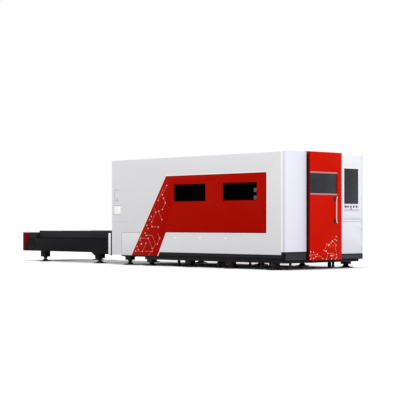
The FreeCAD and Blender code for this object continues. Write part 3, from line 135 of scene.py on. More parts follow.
class Recipe(Board):
    # a material with a plain shader, and the sums that several finishes share
    def __init__(self, name, colour, roughness, metal=0.0, shine=0.5):
        self.material = bpy.data.materials.new(name)
        self.material.use_nodes = True
        super().__init__(self.material.node_tree)
        self.shader = self.tree.nodes["Principled BSDF"]
        self.material.diffuse_color = tone(colour)
        self.set("Base Color", tone(colour))
        self.set("Roughness", roughness)
        self.set("Metallic", metal)
        self.set("Specular IOR Level", shine)

    def set(self, socket, value):
        if isinstance(value, Wire):
            self.tree.links.new(value.socket, self.shader.inputs[socket])
        else:
            self.shader.inputs[socket].default_value = value

    def baseColour(self):
        # what feeds the colour so far, to paint over
        return Wire(self, self.shader.inputs["Base Color"].links[0].from_socket)

    def place(self, stretch=(1, 1, 1)):
        # object coordinates in metres, stretched for brushed or grained patterns
        here = self.node("ShaderNodeTexCoord", output=3)
        if tuple(stretch) == (1, 1, 1):
            return here
        return self.node("ShaderNodeMapping", {}, {"Vector": here, "Scale": stretch})

    def axes(self):
        # x, y and z of the place, as three wires
        split = self.node("ShaderNodeSeparateXYZ", {}, {"Vector": self.place()})
        return [Wire(self, split.socket.node.outputs[i]) for i in range(3)]

    def noise(self, scale, detail, stretch=(1, 1, 1)):
        return self.node("ShaderNodeTexNoise", {},
                         {"Vector": self.place(stretch), "Scale": scale, "Detail": detail})

    def blend(self, factor, first, second):
        return self.node("ShaderNodeMix", {"data_type": "RGBA"}, {0: factor, 6: first, 7: second}, 2)

    def mottled(self, pattern, colour, darker, lighter):
        # the colour drifting between a darker and a lighter shade of itself
        return self.blend(pattern, shaded(colour, darker), shaded(colour, lighter))

    def between(self, value, low, high):
        # 0 below low, 1 above high, sloping between them
        return self.node("ShaderNodeMapRange", {"clamp": True},
                         {"Value": value, "From Min": low, "From Max": high, "To Min": 0.0, "To Max": 1.0})

    def bump(self, height, depth, strength):
        self.set("Normal", self.node("ShaderNodeBump", {},
                                     {"Height": height, "Distance": depth, "Strength": strength}))

    def skin(self, sheen, spread, least, grain, depth, strength):
        # roughness from one noise, a fine bump from another, each given as its scale and detail
        self.set("Roughness", self.noise(*sheen) * spread + least)
        self.bump(self.noise(*grain), depth, strength)


def anyOf(first, *others):
    # 1 where any of the masks is 1
    for other in others:
        first = first.mathNode("MAXIMUM", first, other)
    return first


def shaded(text, factor):
    # the same colour, lighter or darker
    return [min(1.0, c * factor) for c in tone(text)[:3]] + [1.0]


def powderCoat(name, colour, roughness, grain=0.0004, drift=0.03, shine=0.35, dust=0.0):
    # baked powder paint: a slow drift of tone, an orange-peel skin and a little floor dust low down
    paint = Recipe(name, colour, roughness, shine=shine)
    base = paint.mottled(paint.noise(0.9, 2.0), colour, 1 - drift, 1 + drift)
    if dust:
        low = 1.0 - paint.between(paint.axes()[2], 0.0, 0.42)
        patch = paint.between(paint.noise(7.0, 5.0), 0.42, 0.72)
        base = paint.blend(low * patch * dust, base, tone("#8d8a86"))
    paint.set("Base Color", base)
    paint.skin((60.0, 3.0), 0.12, roughness - 0.06, (420.0, 2.0), grain, 0.35)
    return paint


def jointAndShadowLines(paint, base, lines, strength, shade="#54545a"):
    # faint dark lines, panel joints and, beside the band's proud borders, painted shadow: each line has the axis
    # it lies across, its place and half width, then the axis it runs along, from and to
    axes = paint.axes()
    masks = []
    for across, at, half, along, start, end in lines:
        near = abs(axes[across] - at) < half
        masks.append(near * ((axes[along] > start) * (axes[along] < end)))
    return paint.blend(anyOf(*masks) * strength, base, tone(shade))


# the low tones of the front and the cabinet are painted light and painted shade towards the bottom; the return
# tone is painted shade on the front panel's folded side
wallLook = {"paint": "#dfdfe1", "front": "#eaebf7", "frontLowPaintedLight": "#efedfa", "cabinet": "#f5f5fc",
            "cabinetLowPaintedShade": "#e6e7f0", "return": "#dadadf", "seamHeight": 0.905, "seamHalf": 0.004,
            "seamLength": 4.50}


def wallWhite(name):
    # pale grey wall paint with the joint between its sheets, seen at the rear of the long side
    paint = powderCoat(name, wallLook["paint"], 0.48, drift=0.012, dust=0.1)
    line = (2, wallLook["seamHeight"], wallLook["seamHalf"], 0, rearX, frontX - wallLook["seamLength"])
    paint.set("Base Color", jointAndShadowLines(paint, paint.baseColour(), [line], 0.24))
    return paint


def frontWhite(name, colour, paintedLowTone, lines=()):
    # the smoother, cooler white of the operator's end, its tone shifted lower down as painted light and shade;
    # the folded side takes the wall's grey as painted shade
    paint = powderCoat(name, colour, 0.45, grain=0.0003, drift=0.012, shine=0.25, dust=0.1)
    _, y, z = paint.axes()
    # painted light and shade: the tone moves to the low tone lower down
    base = paint.blend(1.0 - paint.between(z, 0.5, 2.0), paint.baseColour(), tone(paintedLowTone))
    # painted shade: the folded side that faces along the long side is given a darker grey
    base = paint.blend(y < -sideY + 0.0008, base, tone(wallLook["return"]))
    paint.set("Base Color", jointAndShadowLines(paint, base, lines, 0.34) if lines else base)
    return paint


def glossRed(name, colour, low, high, lines=()):
    # bright red top coat, painted light higher up, painted shadow along given lines, its shine tinted by the red
    # under it
    paint = Recipe(name, colour, 0.42, shine=0.06)
    paint.set("Specular Tint", shaded(colour, 1.1))
    # painted light: the red lightens with height
    paintedTopLight = paint.between(paint.axes()[2], low, high)
    base = paint.mottled(paint.noise(0.7, 2.0), colour, 0.95, 1.05)
    base = paint.blend(paintedTopLight * 0.25, base, shaded(colour, 1.18))
    # painted shadow: dark lines beside the band's proud borders
    paint.set("Base Color", jointAndShadowLines(paint, base, lines, 0.75, "#3c0302") if lines else base)
    paint.skin((35.0, 3.0), 0.16, 0.36, (380.0, 2.0), 0.0003, 0.3)
    return paint


def frameBlack(name, colour, upper):
    # satin black on rolled sections, greyer above the groove, with scuffs and floor dust
    paint = Recipe(name, colour, 0.55, shine=0.08)
    height = paint.axes()[2]
    base = paint.blend(paint.between(height, 0.190, 0.222), tone(colour), tone(upper))
    scuff = paint.between(paint.noise(18.0, 6.0, (1.0, 1.0, 6.0)), 0.62, 0.78)
    base = paint.blend(scuff * 0.18, base, tone("#6b6a69"))
    low = (1.0 - paint.between(height, 0.0, 0.16)) * paint.between(paint.noise(9.0, 5.0), 0.4, 0.7)
    paint.set("Base Color", paint.blend(low * 0.35, base, tone("#77736d")))
    paint.skin((40.0, 4.0), 0.2, 0.42, (260.0, 3.0), 0.0006, 0.5)
    return paint


def brushedSteel(name, colour, roughness=0.34, stretch=(4.0, 4.0, 90.0), metal=0.9):
    # drawn or ground steel with fine lines and a few stains
    paint = Recipe(name, colour, roughness, metal)
    lines = paint.noise(14.0, 4.0, stretch)
    stain = paint.between(paint.noise(5.0, 5.0), 0.5, 0.8)
    base = paint.mottled(lines, colour, 0.8, 1.15)
    paint.set("Base Color", paint.blend(stain * 0.3, base, shaded(colour, 0.55)))
    paint.set("Roughness", lines * 0.22 + (roughness - 0.1))
    paint.bump(lines, 0.0004, 0.4)
    return paint


def cutSteel(name, colour, tips):
    # sheet slats: mill scale below, straw and blue heat tint and bright spatter at the teeth
    paint = Recipe(name, colour, 0.5, 0.35)
    height = paint.axes()[2]
    hot = paint.between(height + paint.noise(22.0, 3.0) * 0.03, tips - 0.055, tips + 0.005)
    stops = [(0.0, tone(colour)), (0.45, tone("#b39c77")), (0.75, tone("#8b8d9c")), (1.0, tone("#77726c"))]
    tint = paint.node("ShaderNodeValToRGB", {"stops": stops}, {"Fac": hot})
    rust = paint.between(paint.noise(11.0, 6.0), 0.58, 0.75)
    base = paint.blend(rust * 0.4, tint, tone("#8b684e"))
    spatter = paint.between(paint.noise(160.0, 2.0), 0.66, 0.72)
    paint.set("Base Color", paint.blend(spatter * 0.5, base, tone("#cfccc5")))
    paint.skin((30.0, 4.0), 0.3, 0.35, (140.0, 4.0), 0.001, 0.5)
    return paint


def darkGlass(name, colour, haze, shine):
    # laser-proof pane: deep tint with a slow change of density and a trace of wipe marks
    glass = Recipe(name, colour, 0.08, shine=shine)
    wipe = glass.noise(3.0, 3.0, (1.0, 1.0, 2.5))
    glass.set("Base Color", glass.blend(wipe, shaded(colour, 0.7), tone(haze)))
    glass.set("Roughness", glass.between(glass.noise(24.0, 4.0), 0.3, 0.9) * 0.12 + 0.05)
    return glass


def mouldedPlastic(name, colour, roughness, grain=0.0003, shine=0.3):
    # plastic or rubber with the fine texture of its mould
    plastic = Recipe(name, colour, roughness, shine=shine)
    plastic.set("Base Color", plastic.mottled(plastic.noise(50.0, 3.0), colour, 0.88, 1.12))
    plastic.skin((200.0, 2.0), 0.14, roughness - 0.07, (900.0, 2.0), grain, 0.4)
    return plastic


def blastedAlloy(name, colour):
    # cast alloy, dull from blasting
    alloy = Recipe(name, colour, 0.5, 0.55)
    alloy.set("Base Color", alloy.mottled(alloy.noise(6.0, 4.0), colour, 0.88, 1.08))
    alloy.skin((90.0, 3.0), 0.2, 0.4, (600.0, 2.0), 0.0003, 0.6)
    return alloy


def paleTrim(name, colour):
    # satin strip or ink with a slow drift of tone
    strip = Recipe(name, colour, 0.4, 0.0, 0.4)
    strip.set("Base Color", strip.mottled(strip.noise(2.2, 3.0), colour, 0.93, 1.06))
    strip.skin((40.0, 3.0, (1.0, 1.0, 8.0)), 0.16, 0.32, (300.0, 2.0), 0.0002, 0.3)
    return strip


def screenFace(name):
    # dark display glass, a shade lighter below as painted reflection, under a fingerprinted film
    glass = Recipe(name, "#3e4145", 0.2, shine=0.12)
    _, y, z = glass.axes()
    # painted reflection: the glass lighter towards the bottom
    base = glass.blend(glass.between(z, 1.26, 1.90), tone("#35373a"), tone("#303136"))
    base = glass.blend(1.0 - glass.between(y, 0.585, 0.600), base, tone("#4d4c52"))
    smear = glass.between(glass.noise(17.0, 5.0), 0.55, 0.8)
    glass.set("Base Color", glass.blend(smear * 0.1, base, tone("#6a6c70")))
    glass.set("Roughness", smear * 0.18 + 0.16)
    return glass


def coverWhite(name):
    # cover sheets in the wall's own grey, the square plate much whiter, the latches near-white as painted
    # highlight
    paint = powderCoat(name, wallLook["paint"], 0.48, dust=0.2)
    x, _, z = paint.axes()
    plate = (x < frontX - 4.71) * (z > 1.05) * (z < 1.25)
    # painted highlight: the latches are painted near-white for their glint, over the real latch
    latch = (x > frontX - 3.2) * (z < 0.62)
    paint.set("Base Color", paint.blend(plate + latch, paint.baseColour(), tone("#fbfbfb")))
    return paint


def doorTrack(name, colour, guide):
    # the upper track painted as the wall is, the guide block under the door black
    paint = powderCoat(name, colour, 0.5, shine=0.15)
    paint.set("Base Color", paint.blend(paint.axes()[2] < 1.0, paint.baseColour(), tone(guide)))
    return paint


def guardWhite(name, colour, edge):
    # white link guard with a black strip down its front edge
    paint = powderCoat(name, colour, 0.5, drift=0.02, shine=0.1)
    paint.set("Base Color", paint.blend(paint.axes()[0] > rearX - 0.368, paint.baseColour(), tone(edge)))
    return paint


def plinthFace(name, border, recess, cabinet):
    # left plinth: black border round a grey recess; right plinth: grey with a black top line; both top lines
    # painted shadow
    paint = powderCoat(name, recess, 0.55, shine=0.08)
    _, y, z = paint.axes()
    # painted shadow: the black top line under the white panel above
    leftFace = paint.blend(anyOf(z > 0.318, y < -1.096, z < 0.186), paint.baseColour(), tone(border))
    # painted shadow: the black top line under the panel above
    rightFace = paint.blend(anyOf(z > 0.270, z < 0.190, y > 1.100), tone(cabinet), tone(border))
    paint.set("Base Color", paint.blend(y > 0.0, leftFace, rightFace))
    return paint


def redEnd(name, colour, footShade):
    # the table's red end, painted deep in its own shade, and darker towards the floor as painted shade
    paint = Recipe(name, colour, 0.5, shine=0.02)
    paint.set("Specular Tint", tone(colour))
    # painted shade: darker towards the floor
    base = paint.blend(paint.between(paint.axes()[2], 0.26, 0.66), tone(footShade), tone(colour))
    paint.set("Base Color", paint.blend(paint.noise(2.0, 3.0) * 0.3, base, shaded(colour, 0.8)))
    paint.skin((35.0, 3.0), 0.14, 0.35, (380.0, 2.0), 0.0003, 0.3)
    return paint


def tableGrey(name, colour, band, edge):
    # the table's long side: a lighter upper band over a fold line of painted shadow, darker below
    paint = Recipe(name, colour, 0.55, shine=0.03)
    height = paint.axes()[2]
    base = paint.blend(paint.between(height, 0.532, 0.546), tone(colour), tone(band))
    # painted shadow: the dark line in the gap between the pallet and the table frame
    base = paint.blend((abs(height - 0.534) < 0.008) * 0.8, base, tone(edge))
    base = paint.blend((1.0 - paint.between(height, 0.20, 0.27)) * 0.6, base, tone(edge))
    scuff = paint.between(paint.noise(14.0, 6.0, (1.0, 1.0, 5.0)), 0.62, 0.8)
    paint.set("Base Color", paint.blend(scuff * 0.06, base, tone("#77777b")))
    paint.skin((45.0, 4.0), 0.2, 0.4, (300.0, 3.0), 0.0005, 0.4)
    return paint


# painted shadow lines just inside the red band's proud borders
bandBorderShadows = [(2, 1.821, 0.007, 0, frontX - 3.30, frontX - 0.468),
             (2, 0.693, 0.007, 0, frontX - 3.28, frontX - 0.468),
             (0, frontX - 0.474, 0.006, 2, 0.686, 1.828)]
fasciaLines = [(2, 0.953, 0.007, 1, 0.470, 1.120),
               (2, 0.904, 0.005, 1, 0.470, 1.120),
               (1, 1.088, 0.006, 2, 0.286, 2.200)]
finishes = {
    "frame_black": frameBlack("frame_black", "#121214", "#202224"),
    "feet_steel": frameBlack("feet_steel", "#0d0d0e", "#131314"),
    "bed_grey": powderCoat("bed_grey", "#5f646a", 0.5, drift=0.06, shine=0.2),
    "wall_white": wallWhite("wall_white"),
    "front_white": frontWhite("front_white", wallLook["front"], wallLook["frontLowPaintedLight"]),
    "signal_red": glossRed("signal_red", "#a50a00", 0.2, 1.83, bandBorderShadows),
    "door_red": glossRed("door_red", "#cb1503", 0.2, 2.2),
    "pale_trim": paleTrim("pale_trim", "#bc837f"),
    "window_frame": powderCoat("window_frame", "#030304", 0.6, shine=0.0),
    "dark_glass": darkGlass("dark_glass", "#010101", "#030404", 0.0),
    "plinth_grey": powderCoat("plinth_grey", "#424348", 0.55, dust=0.2, shine=0.08),
    "table_grey": tableGrey("table_grey", "#19191b", "#272729", "#0b0b0c"),
    "pallet_steel": powderCoat("pallet_steel", "#2c2b2d", 0.6, drift=0.08, dust=0.1, shine=0.03),
    "slat_steel": cutSteel("slat_steel", "#8f8b85", 0.705),
    "machined_steel": brushedSteel("machined_steel", "#9a9da0"),
    "chain_steel": brushedSteel("chain_steel", "#3f3c3a", 0.45, (9.0, 9.0, 9.0)),
    "cast_beam": blastedAlloy("cast_beam", "#b9bcc0"),
    "servo_black": powderCoat("servo_black", "#17181a", 0.5, drift=0.08, shine=0.12),
    "copper": brushedSteel("copper", "#b87348", 0.25, (60.0, 60.0, 6.0), 1.0),
    "screen_black": screenFace("screen_black"),
    "handle_metal": brushedSteel("handle_metal", "#e0c9c6", 0.42, (30.0, 30.0, 3.0), 0.2),
    "standoff_dark": mouldedPlastic("standoff_dark", "#240a0b", 0.6),
    "button_red": mouldedPlastic("button_red", "#a3142f", 0.35),
    "button_dark": mouldedPlastic("button_dark", "#1b1c1e", 0.4),
    "button_green": mouldedPlastic("button_green", "#17301f", 0.4),
    "key_metal": brushedSteel("key_metal", "#8f9194", 0.25, (20.0, 20.0, 20.0), 0.9),
    "keyboard_black": mouldedPlastic("keyboard_black", "#1c1d1f", 0.55, 0.0005),
    "cover_white": coverWhite("cover_white"),
    "guard_grey": guardWhite("guard_grey", "#f3f3f4", "#0c0c0d"),
}
extraFinishes = {
    "seal": mouldedPlastic("rubber_seal", "#0a0a0b", 0.8, 0.0006, 0.05),
    "bolt": brushedSteel("zinc_bolts", "#a7a9aa", 0.32, (40.0, 40.0, 40.0), 0.9),
    "blackBolt": mouldedPlastic("black_bolts", "#18181a", 0.5, 0.0003, 0.2),
    "bandEdge": paleTrim("band_edge", "#fdebe8"),
    "linesSide": paleTrim("circuit_ink_side", "#e66e60"),
    "spotsSide": paleTrim("circuit_spots_side", "#ffc6bd"),
    "linesDoor": paleTrim("circuit_ink_door", "#ff8a68"),
    "spotsDoor": paleTrim("circuit_spots_door", "#ffd0bf"),
    "doorGlass": darkGlass("door_glass", "#34363a", "#3a3d41", 0.08),
    "doorEdgeShade": powderCoat("door_edge_shade_red", "#5c0604", 0.6, shine=0.06),
    "cabinetWhite": frontWhite("cabinet_white", wallLook["cabinet"], wallLook["cabinetLowPaintedShade"], fasciaLines),
    "cabinetPlain": frontWhite("cabinet_plain", wallLook["cabinet"], wallLook["cabinetLowPaintedShade"]),
    "cabinetEdge": paleTrim("cabinet_edge", "#ffeae5"),
    # white used for strips that stand as painted highlights
    "highlightWhite": paleTrim("painted_highlight_strip", "#fdfdfd"),
    "doorTrack": doorTrack("door_track", "#e4e4ea", "#101012"),
    "plinthFace": plinthFace("plinth_face", "#0b0b0d", "#35353a", "#3e4046"),
    "lowerSlats": cutSteel("slat_steel_lower", "#8f8b85", 0.435),
    "redEnd": redEnd("table_end_red", "#6e0206", "#3c0c08"),
    "seamShadow": powderCoat("seam_shadow", "#85858b", 0.7, shine=0.05),
    "tyre": mouldedPlastic("wheel_tyre", "#2c2c2e", 0.6, 0.0005, 0.15),
    "shaftDark": brushedSteel("oiled_shaft", "#3b3a3a", 0.45, (6.0, 60.0, 6.0), 0.6),
    "latchGrey": mouldedPlastic("window_latch", "#55555e", 0.45, 0.0003, 0.2),
    "portGrey": mouldedPlastic("port_cover", "#a9a9b2", 0.45, 0.0003, 0.3),
}
for nodeName, cadObject in frame["nodes"].items():
    for materialSlot in cadObject.material_slots:
        materialSlot.material = finishes[slotOfNode[nodeName]].material
print("finishes made,", len(finishes) + len(extraFinishes))


# shaping helpers

def block(bm, low, high):
    # a box with sharp edges, from its two corners
    made = bmesh.ops.create_cube(bm, size=1.0)["verts"]
    bmesh.ops.scale(bm, vec=[b - a for a, b in zip(low, high)], verts=made)
    bmesh.ops.translate(bm, vec=[(a + b) / 2 for a, b in zip(low, high)], verts=made)
    return made


def roundEdges(bm, edges, radius, segments=2):
    bmesh.ops.bevel(bm, geom=edges, offset=radius, offset_type="OFFSET", affect="EDGES", segments=segments,
                    profile=0.5, material=-1, clamp_overlap=True)


def softBlock(bm, low, high, radius, segments=2):
    made = block(bm, low, high)
    roundEdges(bm, list({edge for vert in made for edge in vert.link_edges}), radius, segments)


def cornersOf(geometry):
    return [item for item in geometry if isinstance(item, bmesh.types.BMVert)]


def addedSince(bm, before):
    return [vert for vert in bm.verts if vert not in before]


def pointing(place, direction):
    # moves a shape built along z to a place, and turns it to a direction
    turn = Vector((0, 0, 1)).rotation_difference(Vector(direction))
    return Matrix.Translation(place) @ turn.to_matrix().to_4x4()


def turnedShape(bm, profile, centre, axis, steps):
    # a chain of (radius, distance along the axis) points, spun once round it
    direction = Vector(axis).normalized()
    side = direction.orthogonal().normalized()
    before = set(bm.verts)
    chain = [bm.verts.new(Vector(centre) + direction * along + side * radius) for radius, along in profile]
    edges = [bm.edges.new(pair) for pair in zip(chain, chain[1:])]
    bmesh.ops.spin(bm, geom=chain + edges, cent=centre, axis=direction, dvec=(0, 0, 0), angle=math.tau,
                   steps=steps, use_merge=True, use_normal_flip=False, use_duplicate=False)
    bmesh.ops.remove_doubles(bm, verts=addedSince(bm, before), dist=1e-6)


def frameRing(bm, toWorld, low, high, back, front, width, radius):
    # a flat rectangular frame in a panel's own plane, then placed by the matrix
    before = set(bm.verts)
    made = bmesh.ops.create_grid(bm, x_segments=1, y_segments=1, size=0.5)["verts"]
    bmesh.ops.scale(bm, vec=(high[0] - low[0], high[1] - low[1], 1.0), verts=made)
    bmesh.ops.translate(bm, vec=((high[0] + low[0]) / 2, (high[1] + low[1]) / 2, back), verts=made)
    inner = [face for face in bm.faces if set(face.verts) <= set(made)]
    ring = bmesh.ops.inset_region(bm, faces=inner, thickness=width, use_even_offset=True,
                                  use_boundary=True)["faces"]
    bmesh.ops.delete(bm, geom=inner, context="FACES")
    grown = bmesh.ops.extrude_face_region(bm, geom=ring)["geom"]
    bmesh.ops.translate(bm, vec=(0, 0, front - back), verts=cornersOf(grown))
    edges = {edge for vert in addedSince(bm, before) for edge in vert.link_edges}
    roundEdges(bm, [edge for edge in edges if edge.calc_face_angle(0.0) > 0.7], radius)
    bmesh.ops.transform(bm, matrix=toWorld, verts=addedSince(bm, before))


def sweptBar(bm, stations, steps):
    # a round bar through (place, radius) stations
    rings = []
    for index, (place, radius) in enumerate(stations):
        ahead = Vector(stations[min(index + 1, len(stations) - 1)][0])
        behind = Vector(stations[max(index - 1, 0)][0])
        ring = bmesh.ops.create_circle(bm, cap_ends=index in (0, len(stations) - 1), radius=radius,
                                       segments=steps, matrix=pointing(place, ahead - behind))["verts"]
        rings.append([edge for edge in {e for v in ring for e in v.link_edges} if len(edge.link_faces) < 2])
    for first, second in zip(rings, rings[1:]):
        bmesh.ops.bridge_loops(bm, edges=first + second)


def boltHead(bm, place, axis, across, height):
    # hexagon head on a washer: (sides, widths below and above, depth and middle, as shares of the size)
    for sides, below, above, depth, middle in ((16, 0.82, 0.80, 0.24, 0.12), (6, 0.58, 0.54, 0.76, 0.62)):
        bmesh.ops.create_cone(bm, cap_ends=True, segments=sides, radius1=across * below, radius2=across * above,
                              depth=height * depth,
                              matrix=pointing(place, axis) @ Matrix.Translation((0, 0, height * middle)))


def sidePlane(side):
    # panel coordinates (distance behind the front, height, distance outwards) of one long side
    return Matrix(((-1, 0, 0, frontX), (0, 0, side, 0), (0, 1, 0, 0), (0, 0, 0, 1)))


frontPlane = Matrix(((0, 0, 1, 0), (1, 0, 0, 0), (0, 1, 0, 0), (0, 0, 0, 1)))  # (y, z, x) of the operator's end


def bothSides(fromX, toX, inside, outside, low, high):
    # corners of the same box on the near and on the far long side
    boxes = []
    for side in (-1, 1):
        near, far = sorted((side * inside, side * outside))
        boxes.append(((fromX, near, low), (toX, far, high)))
    return boxes


def finishPiece(bm, name, body, finish, replaced=(), smoothAngle=32.0, outward=True):
    if outward:
        bmesh.ops.recalc_face_normals(bm, faces=bm.faces)
    mesh = bpy.data.meshes.new(name)
    bm.to_mesh(mesh)
    bm.free()
    mesh.materials.append(finish.material)
    mesh.shade_smooth()
    mesh.set_sharp_from_angle(angle=math.radians(smoothAngle))
    piece = bpy.data.objects.new(name, mesh)
    bpy.context.scene.collection.objects.link(piece)
    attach(piece, body)
    if replaced:
        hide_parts(*replaced)


def boxPiece(name, body, finish, boxes, replaced=()):
    # a piece of rounded boxes: low corner, high corner, edge radius, and the steps of the rounding
    bm = bmesh.new()
    for box in boxes:
        softBlock(bm, *box)
    finishPiece(bm, name, body, finish, replaced)


def turnedPiece(name, body, finish, profile, centre, axis, steps, replaced=()):
    # a piece that is one turned shape
    bm = bmesh.new()
    turnedShape(bm, profile, centre, axis, steps)
    finishPiece(bm, name, body, finish, replaced)


def dressedNode(nodeName, radius, finish):
    # a sheet or casting from the frame with its folded edges rounded
    bm = bmesh.new()
    bm.from_mesh(frame["nodes"][nodeName].data)
    bmesh.ops.remove_doubles(bm, verts=bm.verts, dist=2e-5)
    bmesh.ops.dissolve_limit(bm, angle_limit=math.radians(0.5), use_dissolve_boundaries=False, verts=bm.verts,
                             edges=bm.edges)
    folds = [edge for edge in bm.edges if edge.is_manifold and edge.calc_face_angle() > math.radians(40)]
    roundEdges(bm, folds, radius)
    finishPiece(bm, nodeName + "_dressed", bodyOfNode[nodeName], finish, [nodeName],
                outward=False)


# levelling feet under the frame and the table
print("feet")
feet = {"padRadius": 0.144, "padEdge": 0.011, "collarRadius": 0.078, "stemRadius": 0.036, "nutRadius": 0.052,
        "nutHeight": 0.020, "threadFrom": 0.060, "threadPitch": 0.008, "threadDepth": 0.003,
        "firstFromFront": 0.353, "pitch": 1.157, "count": 4, "sillY": 1.025, "sillFootTop": 0.068,
        "rearInset": 0.490, "rearTop": 0.105, "tableY": 0.7775, "tableInsets": (0.825, 2.825), "tableTop": 0.106}


def footProfile(top):
    pad, edge, stem, nut = feet["padRadius"], feet["padEdge"], feet["stemRadius"], feet["nutRadius"]
    nutLow, pitch = top - feet["nutHeight"], feet["threadPitch"]
    points = [(0.0, 0.0), (pad - 0.004, 0.0), (pad, 0.003), (pad, edge), (pad - 0.006, edge + 0.004),
              (0.092, 0.019), (feet["collarRadius"], 0.022), (0.058, 0.040), (stem + 0.004, 0.056), (stem, 0.058)]
    turns = max(1, int((top - 0.062 - feet["nutHeight"]) / pitch))
    for turn in range(turns):
        level = feet["threadFrom"] + turn * pitch  # coarse thread on the bare length of the stem
        if level + 0.006 < nutLow:
            points += [(stem, level), (stem - feet["threadDepth"], level + pitch / 2)]
    return points + [(stem, nutLow), (nut, nutLow + 0.002), (nut, top - 0.003), (nut - 0.004, top), (0.0, top)]


footPlaces = []
for side in (-1, 1):
    for index in range(feet["count"]):
        footPlaces.append((frontX - feet["firstFromFront"] - index * feet["pitch"], side * feet["sillY"],
                           feet["sillFootTop"]))
    footPlaces.append((rearX + feet["rearInset"], side * feet["sillY"], feet["rearTop"]))
    for inset in feet["tableInsets"]:
        footPlaces.append((rearX - inset, side * feet["tableY"], feet["tableTop"]))
bm = bmesh.new()
for x, y, top in footPlaces:
    turnedShape(bm, footProfile(top), (x, y, 0.0), (0, 0, 1), 44)
jack = {"fromFront": 0.683, "radius": 0.030, "shank": 0.026, "top": 0.128, "cabinetFromFront": 0.385,
        "cabinetY": 0.570, "cabinetRadius": 0.048, "cabinetShank": 0.036, "cabinetTop": 0.283}


def jackProfile(top, radius, shank):
    return [(0.0, 0.0), (radius - 0.002, 0.0), (radius, 0.002), (radius, 0.012), (shank, 0.018),
            (shank, top - 0.032), (radius, top - 0.029), (radius, top), (0.0, top)]


for side in (-1, 1):
    for index in range(feet["count"] - 1):
        x = frontX - jack["fromFront"] - index * feet["pitch"]
        turnedShape(bm, jackProfile(jack["top"], jack["radius"], jack["shank"]), (x, side * feet["sillY"], 0.0),
                    (0, 0, 1), 24)
turnedShape(bm, jackProfile(jack["cabinetTop"], jack["cabinetRadius"], jack["cabinetShank"]),
            (frontX - jack["cabinetFromFront"], jack["cabinetY"], 0.0), (0, 0, 1), 24)
finishPiece(bm, "levelling_feet_round", "machine", finishes["feet_steel"], ["levelling_feet"])


# sheets and castings with rounded folds
print("panels")
foldRadius = {"side_panel_near": 0.0014, "side_panel_far": 0.0014, "front_left_panel": 0.0014,
              "cabinet_fascia": 0.0012, "roof_panels": 0.0014, "door_leaf": 0.0014, "cabinet_door": 0.0012,
              "service_covers": 0.0006, "red_bands": 0.0012, "band_borders": 0.0015,
              "front_plinths": 0.002, "front_frame": 0.004, "link_guards": 0.004,
              "door_trims": 0.002, "table_end_housing": 0.0012, "base_frame": 0.006, "table_frames": 0.003,
              "bed_tracks": 0.001, "enclosure_frame": 0.004, "rear_gate": 0.0012,
              "side_window_frames": 0.004, "door_rails": 0.0008, "bed_beams": 0.004, "bed_rails": 0.001,
              "gantry_beam": 0.003, "rear_wall": 0.001, "cabinet_walls": 0.0006,
              "upper_pallet_frame": 0.0015, "lower_pallet_frame": 0.0015,
              "cabinet_modules": 0.003, "gantry_motors": 0.004, "carriage": 0.002, "cutting_head": 0.003,
              "exchange_motor": 0.004, "keyboard_drawer": 0.0012, "table_end_cover": 0.0015}
otherFinish = {"band_borders": "bandEdge", "front_plinths": "plinthFace", "door_rails": "doorTrack",
               "cabinet_fascia": "cabinetWhite", "cabinet_door": "cabinetPlain",
               "keyboard_drawer": "cabinetPlain", "table_end_cover": "redEnd"}
for nodeName, radius in foldRadius.items():
    own = finishes[slotOfNode[nodeName]]
    dressedNode(nodeName, radius, extraFinishes[otherFinish[nodeName]] if nodeName in otherFinish else own)


# circuit pattern on the slash of both long sides
print("circuit lines")
sidePattern = {
    "lineWidth": 0.0066, "dot": 0.0125, "bigDot": 0.018, "proud": 0.0006,
    "lines": [  # places as (distance behind the front, height), then which of them carry a dot
        ([(3.262, 1.640), (3.390, 1.452), (3.450, 1.452)], (0, 1)),
        ([(3.374, 1.556), (3.520, 1.338)], (1,)),
        ([(3.362, 1.386), (3.302, 1.290), (3.392, 1.156)], (0, 1, 2)),
        ([(3.640, 1.190), (3.588, 1.100), (3.722, 0.902), (3.750, 0.862), (3.710, 0.800), (3.514, 0.800)],
         (1, 2, 4, 5)),
        ([(3.504, 1.120), (3.408, 0.946)], (0, 1)),
        ([(3.896, 0.624), (3.704, 0.624), (3.606, 0.452), (3.710, 0.296), (3.924, 0.296)], (0, 3)),
        ([(4.060, 0.564), (3.826, 0.564), (3.706, 0.356)], (0, 1, 2)),
        ([(3.900, 0.462), (4.012, 0.292), (4.232, 0.292)], (0, 1, 2)),
        ([(3.536, 0.676), (3.474, 0.566), (3.548, 0.446)], (1, 2)),
        ([(3.752, 0.292), (3.806, 0.212)], ())],
    "dots": [(3.735, 1.012), (3.784, 0.948), (3.872, 0.832), (3.836, 0.764), (3.928, 0.670), (4.094, 0.522),
             (4.182, 0.392), (4.150, 0.330)],
    "bigDots": [(4.048, 0.448)]}
